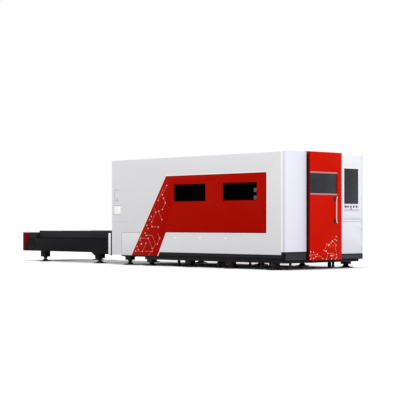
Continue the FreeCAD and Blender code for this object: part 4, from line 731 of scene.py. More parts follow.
doorPattern = {
    "lineWidth": 0.0058, "dot": 0.0115, "bigDot": 0.016, "proud": 0.0006,
    "lines": [  # places as (y, height)
        ([(0.142, 0.541), (0.104, 0.500), (0.104, 0.464), (0.060, 0.412)], (0, 1)),
        ([(-0.030, 0.488), (0.028, 0.448)], (1,)),
        ([(-0.012, 0.502), (-0.064, 0.384)], ()),
        ([(0.196, 0.502), (0.252, 0.452), (0.212, 0.392), (0.254, 0.336)], (1,)),
        ([(0.004, 0.302), (0.176, 0.302), (0.212, 0.250)], (0,)),
        ([(0.000, 0.262), (-0.030, 0.190)], (1,)),
        ([(0.092, 0.256), (0.126, 0.232), (0.160, 0.256)], (0, 2)),
        ([(-0.476, 0.334), (-0.500, 0.268)], (0, 1)),
        ([(-0.484, 0.250), (-0.440, 0.282), (-0.352, 0.276), (-0.292, 0.288)], (3,)),
        ([(-0.486, 0.200), (-0.452, 0.240)], (0,)),
        ([(-0.404, 0.216), (-0.362, 0.216), (-0.334, 0.246), (-0.226, 0.256), (-0.176, 0.236)], (0, 2)),
        ([(0.150, 0.418), (0.178, 0.458)], ())],
    "dots": [(0.250, 0.620), (0.262, 0.544), (0.214, 0.562), (-0.394, 0.330), (0.262, 0.276), (0.262, 0.222),
             (0.120, 0.196), (0.232, 0.194), (-0.134, 0.206), (0.126, 0.262), (-0.096, 0.356), (0.154, 0.524)],
    "bigDots": [(-0.040, 0.344), (0.040, 0.466)]}


def inkLines(bm, pattern, toWorld):
    # printed strips, a hair proud of the paint
    before = set(bm.verts)
    width, proud = pattern["lineWidth"], pattern["proud"]
    for number, (places, _) in enumerate(pattern["lines"]):
        depth = proud * (1.0 + 0.04 * (number % 3))  # strips that meet differ a little in height
        for first, second in zip(places, places[1:]):
            span = Vector(second) - Vector(first)
            middle = (Vector(second) + Vector(first)) / 2
            made = bmesh.ops.create_cube(bm, size=1.0)["verts"]
            bmesh.ops.scale(bm, vec=(span.length + width * 0.6, width, depth), verts=made)
            turn = Matrix.Rotation(math.atan2(span.y, span.x), 4, "Z")
            bmesh.ops.transform(bm, matrix=Matrix.Translation((middle.x, middle.y, depth / 2)) @ turn, verts=made)
    bmesh.ops.transform(bm, matrix=toWorld, verts=addedSince(bm, before))


def inkSpots(bm, pattern, toWorld):
    # round pads where the strips end or turn
    before = set(bm.verts)
    proud = pattern["proud"]
    spots = [(place, pattern["dot"]) for place in pattern["dots"]]
    spots += [(place, pattern["bigDot"]) for place in pattern["bigDots"]]
    spots += [(places[index], pattern["dot"]) for places, dotted in pattern["lines"] for index in dotted]
    for place, radius in spots:
        bmesh.ops.create_cone(bm, cap_ends=True, segments=20, radius1=radius, radius2=radius * 0.97,
                              depth=proud * 1.3, matrix=Matrix.Translation((place[0], place[1], proud * 0.65)))
    bmesh.ops.transform(bm, matrix=toWorld, verts=addedSince(bm, before))


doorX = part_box("door_leaf")[1].x
for kind, draw in (("lines", inkLines), ("spots", inkSpots)):
    bm = bmesh.new()
    for side in (-1, 1):
        draw(bm, sidePattern, Matrix.Translation((0, side * bandY, 0)) @ sidePlane(side))
    finishPiece(bm, "circuit_%s_sides" % kind, "machine", extraFinishes[kind + "Side"])
    bm = bmesh.new()
    draw(bm, doorPattern, Matrix.Translation((doorX, 0, 0)) @ frontPlane)
    finishPiece(bm, "circuit_%s_door" % kind, "door", extraFinishes[kind + "Door"])


# sliding door: pane, seals, handle
print("door")
door = {"left": -0.518, "low": 0.178, "high": 2.223, "paneLeft": -0.498, "paneRight": 0.275, "paneLow": 1.439,
        "paneHigh": 1.816, "paneHidden": 0.012, "paneBack": 0.011, "paneFace": 0.0035, "rim": 0.005,
        "shadeStrip": 0.026, "stripInset": 0.004}
hidden, inset = door["paneHidden"], door["stripInset"]
boxPiece("door_window_pane", "door", extraFinishes["doorGlass"],
         [((doorX - door["paneBack"], door["paneLeft"] - hidden, door["paneLow"] - hidden),
           (doorX - door["paneFace"], door["paneRight"] + hidden, door["paneHigh"] + hidden), 0.001)],
         ["door_pane"])
bm = bmesh.new()
# painted shade: a dark red rim round the pane and a strip at its right edge, in the window's recess
frameRing(bm, frontPlane, (door["paneLeft"], door["paneLow"]), (door["paneRight"], door["paneHigh"]),
          doorX - door["paneFace"], doorX + 0.0005, door["rim"], 0.0012)
softBlock(bm, (doorX - 0.0033, door["paneRight"] - door["shadeStrip"], door["paneLow"] + inset),
          (doorX - 0.001, door["paneRight"] - inset, door["paneHigh"] - inset), 0.0008)
finishPiece(bm, "door_window_recess", "door", extraFinishes["doorEdgeShade"])
left, low, high = door["left"], door["low"], door["high"]
# painted shade: dark red plates on the door's near side, along its left front edge and under its top cap
boxPiece("door_edge_shade_plate", "door", extraFinishes["doorEdgeShade"],
         [((doorX - 0.030, left - 0.0012, low + 0.004), (doorX - 0.002, left + 0.001, high - 0.030), 0.0005, 1),
          ((doorX - 0.0025, left - 0.0012, low + 0.004), (doorX + 0.0012, left + 0.015, high - 0.006), 0.0006, 1),
          ((doorX - 0.113, left - 0.006, high - 0.0038), (doorX - 0.001, left + 0.001, high - 0.0004), 0.0006, 1)])
# a black seal on the door's near side, which also stands as painted shade in the gap beside the panel
boxPiece("door_edge_seal_shade", "door", extraFinishes["seal"],
         [((doorX - 0.0565, left - 0.0022, low + 0.006), (doorX - 0.032, left + 0.002, high - 0.060), 0.0015)])

handle = {"y": 0.205, "barX": frontX + 0.110, "low": 0.876, "high": 1.378, "radius": 0.0105, "flare": 0.0225,
          "bend": 0.047,
          "curve": [(0.0, 0.92, 0.72), (0.05, 0.90, 1.0), (0.30, 0.64, 1.0), (0.55, 0.34, 1.0),  # up, out, thick
                    (0.80, 0.10, 1.0), (1.0, 0.0, 1.0)],
          "standoffs": [(0.932, 0.864, 0.954), (1.322, 1.300, 1.388)],  # height of the pin, and of its dark plate, a painted shadow of the mount
          "pin": [(0.0, 0.0), (0.0215, 0.0), (0.0225, 0.001), (0.0225, 0.004), (0.020, 0.0065), (0.0125, 0.011),
                  (0.0115, 0.016), (0.0115, 0.032), (0.0145, 0.0385), (0.0, 0.0395)]}
handleY = handle["y"]
lower = [((handle["barX"] + handle["flare"] * out, handleY, handle["low"] + handle["bend"] * up),
          handle["radius"] * thick) for up, out, thick in handle["curve"]]
upper = [((place[0], handleY, handle["low"] + handle["high"] - place[2]), thick)
         for place, thick in reversed(lower)]
bm = bmesh.new()
sweptBar(bm, lower + upper, 22)
finishPiece(bm, "door_handle_bar", "door", finishes["handle_metal"], ["door_handle"], 50)
bm = bmesh.new()
for level, low, high in handle["standoffs"]:
    # painted shadow: a dark plate on the door behind each mount
    softBlock(bm, (doorX - 0.0005, handleY - 0.026, low), (doorX + 0.0040, handleY + 0.055, high), 0.0018)
    turnedShape(bm, handle["pin"], (doorX, handleY, level), (1, 0, 0), 28)
finishPiece(bm, "door_handle_standoffs_shadow_plates", "door", finishes["standoff_dark"], ["handle_standoffs"])


# operator's cabinet: screen, buttons, key, drawer and keyboard
print("cabinet")
screen = {"left": 0.558, "right": 0.979, "low": 1.249, "high": 1.931, "bezel": 0.012, "caseEdge": 0.020,
          "vents": 20, "ventFrom": 1.30, "ventPitch": 0.028, "ventHeight": 0.010, "ventLeft": 0.600,
          "ventRight": 0.930}
left, right, low, high = screen["left"], screen["right"], screen["low"], screen["high"]
edge, bezel = screen["caseEdge"], screen["bezel"]
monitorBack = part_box("monitor")[0].x
bm = bmesh.new()
frameRing(bm, frontPlane, (left + 0.001, low + 0.001), (right - 0.001, high - 0.001), frontX - 0.013,
          frontX - 0.002, bezel, 0.003)
softBlock(bm, (monitorBack, left - edge, low - edge), (frontX - 0.012, right + edge, high + edge), 0.003)
for level in [screen["ventFrom"] + screen["ventPitch"] * step for step in range(screen["vents"])]:
    softBlock(bm, (monitorBack - 0.0015, screen["ventLeft"], level),
              (monitorBack + 0.001, screen["ventRight"], level + screen["ventHeight"]), 0.0007, 1)
finishPiece(bm, "monitor_case", "machine", finishes["servo_black"], ["monitor"])
boxPiece("monitor_glass", "machine", finishes["screen_black"],
         [((frontX - 0.0125, left + bezel, low + bezel), (frontX - 0.0095, right - bezel, high - bezel), 0.0009)])
# a slim lip over the screen, coloured near-white as a painted highlight
boxPiece("screen_lip_highlight", "machine", extraFinishes["highlightWhite"],
         [((frontX - 0.001, left - 0.006, high + 0.003), (frontX + 0.005, right + 0.006, high + 0.019), 0.0022)])
edgeStrip = {"from": 0.4305, "to": 0.452, "low": 0.290, "high": 2.196, "proud": 0.0035}
boxPiece("cabinet_edge_strip", "machine", extraFinishes["cabinetEdge"],
         [((frontX - 0.001, edgeStrip["from"], edgeStrip["low"]),
           (frontX + edgeStrip["proud"], edgeStrip["to"], edgeStrip["high"]), 0.0015)])

buttons = {
    "level": 1.196, "places": (0.672, 0.757, 0.842, 0.927), "stopY": 0.597, "keyY": 0.760, "keyLevel": 1.1505,
    "portY": 0.998, "keyHalf": 0.0019, "keyHeight": 0.0088,
    "collar": (0.0215, 0.0146, 0.0035), "stopCollar": (0.0255, 0.0208, 0.0040),  # outside, inside, height
    "keyCollar": (0.0140, 0.0096, 0.0030),
    "port": [(0.0, 0.0), (0.0105, 0.0), (0.0110, 0.0010), (0.0110, 0.0025), (0.0098, 0.0040), (0.0, 0.0046)],
    "cap": [(0.0, 0.0), (0.0075, 0.0), (0.0080, 0.001), (0.0080, 0.0335), (0.0130, 0.0338), (0.0139, 0.0348),
            (0.0139, 0.0405), (0.0126, 0.0425), (0.0060, 0.0418), (0.0, 0.0415)],
    "stop": [(0.0, 0.0), (0.0105, 0.0), (0.0110, 0.001), (0.0110, 0.034), (0.0165, 0.0345), (0.0192, 0.0365),
             (0.0199, 0.0400), (0.0194, 0.0440), (0.0168, 0.0476), (0.0100, 0.0494), (0.0, 0.0499)],
    "barrel": [(0.0, 0.0), (0.0080, 0.0), (0.0086, 0.001), (0.0086, 0.0215), (0.0076, 0.0230), (0.0, 0.0232)]}


def collar(bm, y, level, outside, inside, height):
    # the ring round a button, on the cabinet's front
    turnedShape(bm, [(inside, -0.001), (outside, -0.001), (outside, height * 0.55), (outside - 0.0018, height),
                     (inside + 0.001, height), (inside, height - 0.001), (inside, -0.001)],
                (frontX, y, level), (1, 0, 0), 32)


bm = bmesh.new()
for y in buttons["places"]:
    collar(bm, y, buttons["level"], *buttons["collar"])
collar(bm, buttons["stopY"], buttons["level"], *buttons["stopCollar"])
collar(bm, buttons["keyY"], buttons["keyLevel"], *buttons["keyCollar"])
finishPiece(bm, "button_collars", "machine", finishes["button_dark"])
turnedPiece("data_port_cap", "machine", extraFinishes["portGrey"], buttons["port"],
            (frontX, buttons["portY"], buttons["level"]), (1, 0, 0), 28)
for number, y in enumerate(buttons["places"], 1):
    node = "push_button_%d" % number
    turnedPiece(node + "_cap", bodyOfNode[node], finishes[slotOfNode[node]], buttons["cap"],
                (frontX - 0.030, y, buttons["level"]), (1, 0, 0), 30, [node])
turnedPiece("emergency_stop_mushroom", "stop_button", finishes["button_red"], buttons["stop"],
            (frontX - 0.028, buttons["stopY"], buttons["level"]), (1, 0, 0), 36, ["emergency_stop"])
keyY, keyLevel = buttons["keyY"], buttons["keyLevel"]
bm = bmesh.new()
turnedShape(bm, buttons["barrel"], (frontX - 0.017, keyY, keyLevel), (1, 0, 0), 26)
softBlock(bm, (frontX + 0.0058, keyY - buttons["keyHalf"], keyLevel - buttons["keyHeight"]),
          (frontX + 0.0208, keyY + buttons["keyHalf"], keyLevel + buttons["keyHeight"]), 0.0012)
finishPiece(bm, "key_and_barrel", "key", finishes["key_metal"], ["key_switch"])

drawer = {"left": 0.542, "right": 1.018, "high": 1.140, "pullDepth": 0.009}
left, right, high = drawer["left"] + 0.004, drawer["right"] - 0.004, drawer["high"]
pullX = frontX + drawer["pullDepth"]
boxPiece("drawer_pull", "drawer", finishes["front_white"],
         [((frontX - 0.002, left, high - 0.013), (pullX, right, high - 0.005), 0.0018),
          ((pullX - 0.0025, left, high - 0.024), (pullX, right, high - 0.006), 0.0010)])

keyboard = {"low": (frontX - 0.220, 0.580, 0.963), "high": (frontX - 0.060, 0.980, 0.985), "rows": 6,
            "columns": 17, "edge": 0.009, "base": 0.013, "gap": 0.0012, "keyTop": 0.82,
            "wide": {0: (5, 11), 1: (0, 2), 2: (14, 16)}}  # row: first column of its wide key, and the next key's
bm = bmesh.new()
(lowX, lowY, lowZ), (highX, highY, highZ) = keyboard["low"], keyboard["high"]
edge, gap = keyboard["edge"], keyboard["gap"]
softBlock(bm, (lowX, lowY, lowZ), (highX, highY, lowZ + keyboard["base"]), 0.004, 3)
rowPitch = (highX - lowX - 2 * edge) / keyboard["rows"]
columnPitch = (highY - lowY - 2 * edge) / keyboard["columns"]
for row in range(keyboard["rows"]):
    column = 0
    while column < keyboard["columns"]:
        first, last = keyboard["wide"].get(row, (-1, -1))
        span = last - first if column == first else 1
        startX = highX - edge - (row + 1) * rowPitch
        startY = lowY + edge + column * columnPitch
        made = block(bm, (startX + gap, startY + gap, lowZ + keyboard["base"] - 0.001),
                     (startX + rowPitch - gap, startY + span * columnPitch - gap, highZ))
        top = [vert for vert in made if vert.co.z > highZ - 1e-5]
        middle = sum((vert.co for vert in top), Vector()) / 4
        for vert in top:
            vert.co.x = middle.x + (vert.co.x - middle.x) * keyboard["keyTop"]
            vert.co.y = middle.y + (vert.co.y - middle.y) * (1 - (1 - keyboard["keyTop"]) / span)
        column += span
finishPiece(bm, "keyboard_keys", "drawer", finishes["keyboard_black"], ["keyboard"])


# long sides: window seals and latches, painted shadow lines at the covers, painted highlight strips at the corners
print("long sides")
windows = {"starts": (0.720, 2.123), "length": 0.913, "low": 1.309, "high": 1.652, "border": 0.022,
           "paneOut": 1.106, "paneIn": 1.100, "gasket": (0.0, 0.011, 0.008, 0.003), "paneUnder": 0.004}
bm = bmesh.new()
for side in (-1, 1):
    for start in windows["starts"]:
        border = windows["border"]
        frameRing(bm, Matrix.Translation((0, side * windows["paneOut"], 0)) @ sidePlane(side),
                  (start + border, windows["low"] + border),
                  (start + windows["length"] - border, windows["high"] - border), *windows["gasket"])
finishPiece(bm, "window_gaskets", "machine", extraFinishes["seal"])
border = windows["border"] - windows["paneUnder"]
panes = []
for start in windows["starts"]:
    panes += bothSides(frontX - start - windows["length"] + border, frontX - start - border, windows["paneIn"],
                       windows["paneOut"], windows["low"] + border, windows["high"] - border)
boxPiece("window_panes_tinted", "machine", finishes["dark_glass"],
         [pane + (0.001,) for pane in panes], ["side_window_panes"])

latch = {"from": 0.722, "to": 0.790, "levels": ((1.318, 1.392), (1.462, 1.538)), "y": 1.1235, "proud": 0.0075,
         "knobFromFront": 0.756, "knobY": 1.130,
         "knob": [(0.0, 0.0), (0.017, 0.0), (0.0175, 0.001), (0.0175, 0.006), (0.015, 0.0085), (0.0, 0.009)]}
bm = bmesh.new()
for low, high in latch["levels"]:
    for corners in bothSides(frontX - latch["to"], frontX - latch["from"], latch["y"], latch["y"] + latch["proud"],
                             low, high):
        softBlock(bm, *corners, 0.003)
    for side in (-1, 1):
        turnedShape(bm, latch["knob"], (frontX - latch["knobFromFront"], side * latch["knobY"], (low + high) / 2),
                    (0, side, 0), 26)
finishPiece(bm, "window_latches", "machine", extraFinishes["latchGrey"])

# painted shadow along the top and left edges of the recessed covers, with thin joint lines at the plate
coverShadowLines = {"half": 0.0022, "back": -1.1195, "face": -1.1228, "lines": [  # (distance behind the front, height)
    ((4.687, 0.213), (4.687, 0.680)), ((4.687, 0.680), (4.055, 0.680)), ((4.910, 1.324), (4.910, 1.579)),
    ((4.910, 1.579), (4.790, 1.579)), ((4.870, 1.352), (4.800, 1.352)), ((4.870, 1.392), (4.800, 1.392)),
    ((4.932, 1.243), (4.724, 1.243)), ((4.932, 1.055), (4.724, 1.055))]}
boxes = []
for (s1, z1), (s2, z2) in coverShadowLines["lines"]:
    half = coverShadowLines["half"] * (2.0 if s1 > 4.73 else 1.3)  # the upper covers have the wider painted shadow lines
    boxes.append(((frontX - max(s1, s2) - half, coverShadowLines["face"], min(z1, z2) - half),
                  (frontX - min(s1, s2) + half, coverShadowLines["back"], max(z1, z2) + half), 0.0008, 1))
boxPiece("cover_shadow_lines", "machine", extraFinishes["seamShadow"], boxes)

# painted highlight: a white strip down each front corner, where the fold catches the light
cornerHighlight = {"from": 0.060, "to": 0.100, "inside": 1.1185, "outside": 1.1225, "low": 0.344, "high": 2.196}
boxes = bothSides(frontX - cornerHighlight["to"], frontX - cornerHighlight["from"], cornerHighlight["inside"],
                  cornerHighlight["outside"], cornerHighlight["low"], cornerHighlight["high"])
boxPiece("corner_highlight_strips", "machine", extraFinishes["highlightWhite"],
         [corners + (0.0012,) for corners in boxes])


# pallets: saw-tooth slats in notched combs
print("slats")
slats = {"count": 37, "first": 0.2035, "pitch": 0.0735, "half": 0.6535, "low": 0.0945, "thickness": 0.003,
         "teeth": 32, "toothRise": 0.022}
combs = {"y": 0.6565, "thickness": 0.006, "low": 0.100, "high": 0.045, "notch": 0.012, "from": 0.0602,
         "to": 2.9898, "side": 0.7}


def thicken(bm, step):
    # a flat sheet given its thickness, half of it to each side
    grown = bmesh.ops.extrude_face_region(bm, geom=bm.faces[:])["geom"]
    bmesh.ops.translate(bm, vec=step, verts=cornersOf(grown))
    bmesh.ops.translate(bm, vec=Vector(step) / -2, verts=bm.verts[:])


def palletStart(pallet):
    # where the pallet's frame begins, and the height of its slats' tips
    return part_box(pallet + "_frame")[0].x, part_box(pallet + "_slats")[1].z


def slattedBed(pallet, finish):
    # one saw-toothed slat, then its copies along the pallet
    startX, tips = palletStart(pallet)
    bm = bmesh.new()
    steps = slats["teeth"] * 2
    made = bmesh.ops.create_grid(bm, x_segments=steps, y_segments=1, size=0.5)["verts"]
    for vert in made:
        column = round((vert.co.x + 0.5) * steps)
        high = tips - 0.0005 - (slats["toothRise"] if column % 2 == 0 else 0.0)
        vert.co = Vector((0, vert.co.x * 2 * slats["half"], high if vert.co.y > 0 else tips - slats["low"]))
    thicken(bm, (slats["thickness"], 0, 0))
    one = bm.verts[:] + bm.edges[:] + bm.faces[:]
    bmesh.ops.translate(bm, vec=(startX + slats["first"], 0, 0), verts=bm.verts[:])
    for number in range(1, slats["count"]):
        copied = bmesh.ops.duplicate(bm, geom=one)["geom"]
        bmesh.ops.translate(bm, vec=(number * slats["pitch"], 0, 0), verts=cornersOf(copied))
    finishPiece(bm, pallet + "_slats_toothed", pallet, finish, [pallet + "_slats"], 20)


def notchedCombs(pallet):
    # the strips inside the long rails that hold the slats upright, four steps to a notch
    startX, tips = palletStart(pallet)
    bm = bmesh.new()
    steps = (slats["count"] + 3) * 4
    first = slats["first"] - 2 * slats["pitch"]
    for side in (-1, 1):
        strip = bmesh.new()
        bmesh.ops.create_grid(strip, x_segments=steps, y_segments=1, size=0.5)
        for vert in strip.verts:
            step = round((vert.co.x + 0.5) * steps)
            nudge = {1: -combs["side"], 3: combs["side"]}.get(step % 4, 0.0)
            along = min(max(first + (step + nudge) * slats["pitch"] / 4, combs["from"]), combs["to"])
            high = tips - combs["high"] + (combs["notch"] if step % 4 else 0.0)
            vert.co = Vector((startX + along, side * combs["y"], high if vert.co.y > 0 else tips - combs["low"]))
        thicken(strip, (0, combs["thickness"], 0))
        mesh = bpy.data.meshes.new("strip")
        strip.to_mesh(mesh)
        strip.free()
        bm.from_mesh(mesh)
        bpy.data.meshes.remove(mesh)
    finishPiece(bm, pallet + "_combs", pallet, finishes["bed_grey"], (), 20)


slattedBed("upper_pallet", finishes["slat_steel"])
slattedBed("lower_pallet", extraFinishes["lowerSlats"])
notchedCombs("upper_pallet")
notchedCombs("lower_pallet")


# pallet wheels, shafts and chains
print("wheels and chains")
wheels = {"from": 0.72325, "to": 0.75825, "axle": 0.012, "axleEnd": 0.775, "bolts": 5, "boltRing": 0.0255}
for setName in ("upper_rear_wheel", "upper_front_wheel", "lower_rear_wheel", "lower_front_wheel"):
    low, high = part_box(setName + "s")
    x, z = (low.x + high.x) / 2, (low.z + high.z) / 2
    bm = bmesh.new()
    axle, end = wheels["axle"], wheels["axleEnd"]
    turnedShape(bm, [(0.0, -end), (axle - 0.001, -end), (axle, -end + 0.001), (axle, end - 0.001),
                     (axle - 0.001, end), (0.0, end)], (x, 0, z), (0, 1, 0), 24)
    for side in (-1, 1):
        inside, outside = wheels["from"], wheels["to"]
        rim = [(0.0125, inside + 0.002), (0.019, inside), (0.020, inside + 0.007), (0.031, inside + 0.009),
               (0.034, inside + 0.001), (0.0385, inside), (0.040, inside + 0.0025), (0.040, outside - 0.0025),
               (0.0385, outside), (0.034, outside - 0.001), (0.031, outside - 0.009), (0.020, outside - 0.007),
               (0.019, outside), (0.0125, outside - 0.002), (0.0125, inside + 0.002)]
        turnedShape(bm, [(radius, side * along) for radius, along in rim], (x, 0, z), (0, 1, 0), 40)
        for turn in range(wheels["bolts"]):
            angle = math.tau * turn / wheels["bolts"]
            place = (x + wheels["boltRing"] * math.cos(angle), side * (outside - 0.0085),
                     z + wheels["boltRing"] * math.sin(angle))
            boltHead(bm, place, (0, side, 0), 0.007, 0.004)
    finishPiece(bm, setName + "_set_round", setName + "_set", extraFinishes["tyre"],
                [setName + "s"], 40)

shafts = {"radius": 0.015, "root": 0.0375, "tip": 0.0446, "width": 0.009, "places": 0.600, "teeth": 12,
          "hub": 0.026}


def sprocket(bm, x, y, z):
    # teeth pulled out of a flat ring, four of its points to each
    before = set(bm.verts)
    count = shafts["teeth"] * 4
    bmesh.ops.create_circle(bm, cap_ends=True, radius=1.0, segments=count)
    made = addedSince(bm, before)
    for vert in made:
        place = round(math.atan2(vert.co.y, vert.co.x) / math.tau * count) % 4
        length = (shafts["tip"], shafts["root"] + 0.003, shafts["root"], shafts["root"] + 0.003)[place]
        vert.co = vert.co.normalized() * length
    faces = [face for face in bm.faces if set(face.verts) <= set(made)]
    grown = bmesh.ops.extrude_face_region(bm, geom=faces)["geom"]
    bmesh.ops.translate(bm, vec=(0, 0, shafts["width"]), verts=cornersOf(grown))
    made = addedSince(bm, before)
    bmesh.ops.translate(bm, vec=(0, 0, -shafts["width"] / 2), verts=made)
    bmesh.ops.transform(bm, matrix=Matrix.Translation((x, y, z)) @ Matrix.Rotation(math.radians(90), 4, "X"),
                        verts=made)


def shaftAxis(nodeName):
    low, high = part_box(nodeName)
    return (low.x + high.x) / 2, (low.z + high.z) / 2


for nodeName, body in (("drive_shaft", "drive_sprockets"), ("idler_shaft", "idler_sprockets")):
    x, z = shaftAxis(nodeName)
    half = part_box(nodeName)[1].y
    radius, hub = shafts["radius"], shafts["hub"]
    bm = bmesh.new()
    points = [(0.0, -half), (radius - 0.001, -half), (radius, -half + 0.001)]
    for y in (-shafts["places"], shafts["places"]):
        points += [(radius, y - 0.022), (hub, y - 0.0215), (hub, y + 0.0215), (radius, y + 0.022)]
    points += [(radius, half - 0.001), (radius - 0.001, half), (0.0, half)]
    turnedShape(bm, points, (x, 0, z), (0, 1, 0), 28)
    for y in (-shafts["places"], shafts["places"]):
        sprocket(bm, x, y, z)
    finishPiece(bm, nodeName + "_turned", body, extraFinishes["shaftDark"], [nodeName], 30)

chain = {"radius": 0.0468, "links": 338, "plateHeight": 0.0062, "plateThickness": 0.0016, "plates": 0.0058,
         "roller": 0.0028, "rollerWidth": 0.0130}
driveX, shaftZ = shaftAxis("drive_shaft")
idlerX = shaftAxis("idler_shaft")[0]


def chainPlace(along):
    # place and slope at a distance round the loop, starting above the drive shaft
    straight, arc = idlerX - driveX, math.pi * chain["radius"]
    if along < straight:
        return driveX + along, shaftZ + chain["radius"], 0.0
    along -= straight
    if along < arc:
        angle = along / chain["radius"]
        return idlerX + chain["radius"] * math.sin(angle), shaftZ + chain["radius"] * math.cos(angle), -angle
    along -= arc
    if along < straight:
        return idlerX - along, shaftZ - chain["radius"], math.pi
    angle = (along - straight) / chain["radius"]
    return driveX - chain["radius"] * math.sin(angle), shaftZ - chain["radius"] * math.cos(angle), math.pi - angle


pitch = (2 * (idlerX - driveX) + math.tau * chain["radius"]) / chain["links"]
bm = bmesh.new()
for number in range(chain["links"]):
    x, z, slope = chainPlace((number + 0.5) * pitch)
    pinX, pinZ, _ = chainPlace(number * pitch)
    spread = chain["plates"] - (chain["plateThickness"] if number % 2 else 0.0)
    for y in (-shafts["places"], shafts["places"]):
        for face in (-1, 1):
            made = bmesh.ops.create_cube(bm, size=1.0)["verts"]
            bmesh.ops.scale(bm, vec=(pitch + 0.004, chain["plateThickness"], chain["plateHeight"]), verts=made)
            turn = Matrix.Translation((x, y + face * spread, z)) @ Matrix.Rotation(-slope, 4, "Y")
            bmesh.ops.transform(bm, matrix=turn, verts=made)
        bmesh.ops.create_cone(bm, cap_ends=True, segments=8, radius1=chain["roller"], radius2=chain["roller"],
                              depth=chain["rollerWidth"], matrix=Matrix.Translation((pinX, y, pinZ))
                              @ Matrix.Rotation(math.radians(90), 4, "X"))
finishPiece(bm, "exchange_roller_chains", "machine", finishes["chain_steel"], ["exchange_chains"])


# duct sleeve, and the bolts of the rear wall and the roof
print("rear end")
spigot = {"y": 0.650, "z": 1.900, "radius": 0.1015, "end": -0.8555, "sheet": 0.0015, "boltPitch": 0.13}
depth = rearX - spigot["end"]
outer, inner = spigot["radius"] + spigot["sheet"], spigot["radius"] - spigot["sheet"]
turnedPiece("duct_spigot_sleeve", "machine", finishes["machined_steel"],
            [(inner, 0.0), (outer + 0.004, 0.0), (outer + 0.004, 0.003), (outer, 0.006), (outer, depth * 0.55),
             (outer + 0.003, depth * 0.62), (outer, depth * 0.69), (outer, depth - 0.001), (inner, depth),
             (inner, 0.0)], (rearX, spigot["y"], spigot["z"]), (-1, 0, 0), 56)
wallBolts = {"y": 1.062, "low": 0.30, "pitch": 0.218, "count": 9}
roofBolts = {"x": (-0.64, 0.86, 2.34, 3.98), "y": (-1.04, -0.35, 0.35, 1.04)}
bm = bmesh.new()
steps = (-spigot["boltPitch"], 0.0, spigot["boltPitch"])
for across, up in [(across, up) for across in steps for up in steps if across or up]:
    boltHead(bm, (rearX - 0.0005, spigot["y"] + across, spigot["z"] + up), (-1, 0, 0), 0.013, 0.006)
for step in range(wallBolts["count"]):
    for y in (-wallBolts["y"], wallBolts["y"]):
        boltHead(bm, (rearX - 0.0005, y, wallBolts["low"] + step * wallBolts["pitch"]), (-1, 0, 0), 0.012, 0.005)
finishPiece(bm, "rear_wall_bolts", "machine", extraFinishes["bolt"])
bm = bmesh.new()
for x in roofBolts["x"]:
    for y in roofBolts["y"]:
        boltHead(bm, (x, y, roofZ), (0, 0, 1), 0.016, 0.006)
finishPiece(bm, "roof_bolts", "machine", extraFinishes["bolt"])


# cutting head and nozzle
print("cutting head")
nozzleProfile = [(0.0012, 0.0), (0.0040, 0.0), (0.0055, 0.0015), (0.0130, 0.014), (0.0145, 0.020), (0.0145, 0.028),
                 (0.0200, 0.030), (0.0200, 0.044), (0.0185, 0.046), (0.0250, 0.052), (0.0258, 0.054),
                 (0.0258, 0.086), (0.0240, 0.0898), (0.0, 0.0898), (0.0, 0.010), (0.0012, 0.006), (0.0012, 0.0)]
headCovers = {"half": 0.036, "levels": ((0.10, 0.17), (0.20, 0.25)), "back": 0.001, "proud": 0.004, "boltY": 0.045,
              "boltInset": 0.020}
nozzleLow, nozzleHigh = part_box("nozzle")
headLow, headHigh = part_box("cutting_head")
nozzleX, nozzleY = (nozzleLow.x + nozzleHigh.x) / 2, (nozzleLow.y + nozzleHigh.y) / 2
turnedPiece("nozzle_turned", "head", finishes["copper"], nozzleProfile,
            (nozzleX, nozzleY, nozzleLow.z), (0, 0, 1), 40, ["nozzle"])
bm = bmesh.new()
for y in (-headCovers["boltY"], headCovers["boltY"]):
    for level in (headLow.z + headCovers["boltInset"], headHigh.z - headCovers["boltInset"]):
        boltHead(bm, (headHigh.x - 0.0005, y, level), (1, 0, 0), 0.010, 0.004)
for low, high in headCovers["levels"]:
    softBlock(bm, (headHigh.x - headCovers["back"], -headCovers["half"], headLow.z + low),
              (headHigh.x + headCovers["proud"], headCovers["half"], headLow.z + high), 0.0015)
finishPiece(bm, "head_covers", "head", extraFinishes["bolt"])


# angle under the walls between the rear feet
rearSill = {"from": rearX + 0.300, "to": rearX + 1.250, "low": 0.178, "high": 0.2048, "y": 1.104, "leg": 0.040,
            "sheet": 0.006}
upright = bothSides(rearSill["from"], rearSill["to"], rearSill["y"], rearSill["y"] - rearSill["sheet"],
                    rearSill["low"], rearSill["high"])
flat = bothSides(rearSill["from"] + 0.001, rearSill["to"] - 0.001, rearSill["y"] - 0.0055,
                 rearSill["y"] - rearSill["leg"], rearSill["high"] - rearSill["sheet"], rearSill["high"] - 0.0004)
boxPiece("rear_sill_angles", "machine", finishes["feet_steel"],
         [corners + (0.001,) for corners in upright + flat])


# bolts of the frame and the table
print("bolts")
boltRows = [  # start, pitch, count, distance outwards, height, width across, height of the head
    (frontX - 0.30, 0.36, 13, 1.1045, 0.255, 0.016, 0.006), (rearX - 0.55, 0.33, 10, 0.8495, 0.300, 0.014, 0.005)]
bm = bmesh.new()
for side in (-1, 1):
    for start, pitch, count, y, z, across, height in boltRows:
        for index in range(count):
            boltHead(bm, (start - index * pitch, side * y, z), (0, side, 0), across, height)
finishPiece(bm, "frame_bolts", "machine", extraFinishes["blackBolt"])


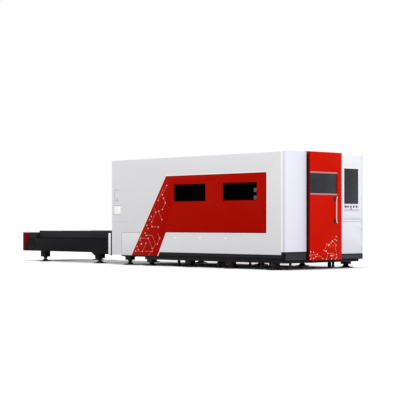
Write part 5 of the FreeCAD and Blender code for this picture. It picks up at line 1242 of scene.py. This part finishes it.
# camera, floor and light
print("camera and light")
camera = {"place": (20.2455, -18.381, 0.8657), "turn": 46.66, "lens": 114.8, "rise": 0.0591}
lens = bpy.data.cameras.new("photoCamera")
lens.lens = camera["lens"]
lens.sensor_width = 36.0
lens.shift_y = camera["rise"]
lens.clip_end = 400.0
lens.dof.use_dof = False
cameraObject = bpy.data.objects.new("photoCamera", lens)
cameraObject.location = camera["place"]
cameraObject.rotation_euler = (math.radians(90), 0, math.radians(camera["turn"]))
bpy.context.scene.collection.objects.link(cameraObject)
bpy.context.scene.camera = cameraObject

lamps = {
    "front": {"power": 1.05, "angle": 50, "from": (1.0, -0.25, 0.75), "colour": (0.98, 0.98, 1.0)},
    "side": {"power": 0.66, "angle": 60, "from": (0.15, -1.0, 0.9), "colour": (1.0, 1.0, 0.99)},
    "top": {"power": 0.9, "angle": 70, "from": (-0.2, 0.1, 1.0), "colour": (1.0, 1.0, 1.0)},
}
for name, lamp in lamps.items():
    sun = bpy.data.lights.new(name + "Lamp", "SUN")
    sun.energy = lamp["power"]
    sun.angle = math.radians(lamp["angle"])
    sun.color = lamp["colour"]
    sunObject = bpy.data.objects.new(name + "Lamp", sun)
    sunObject.rotation_mode = "QUATERNION"
    sunObject.rotation_quaternion = Vector(lamp["from"]).to_track_quat("Z", "Y")
    bpy.context.scene.collection.objects.link(sunObject)

surround = {"light": 0.66, "floorSize": 160.0, "floorSeen": 0.97, "floorBounce": 0.55}
world = bpy.data.worlds.new("studio")
world.use_nodes = True
bpy.context.scene.world = world
air = Board(world.node_tree)
strength = air.node("ShaderNodeMapRange", {},
                    {"Value": air.seenItself(), "To Min": surround["light"], "To Max": 1.0})
background = air.tree.nodes["Background"]
background.inputs["Color"].default_value = (1.0, 1.0, 1.0, 1.0)
air.tree.links.new(strength.socket, background.inputs["Strength"])

floorPaint = Recipe("pale_floor", "#ffffff", 0.9, shine=0.0)
bounce, direct = surround["floorBounce"], surround["floorSeen"]
floorPaint.set("Base Color", floorPaint.blend(floorPaint.seenItself(), [bounce] * 3 + [1.0], [direct] * 3 + [1.0]))
bm = bmesh.new()
bmesh.ops.create_grid(bm, x_segments=1, y_segments=1, size=surround["floorSize"] / 2)
floorMesh = bpy.data.meshes.new("floor")
bm.to_mesh(floorMesh)
bm.free()
floorMesh.materials.append(floorPaint.material)
floorObject = bpy.data.objects.new("floor", floorMesh)
bpy.context.scene.collection.objects.link(floorObject)

bpy.context.scene.view_settings.view_transform = "Standard"
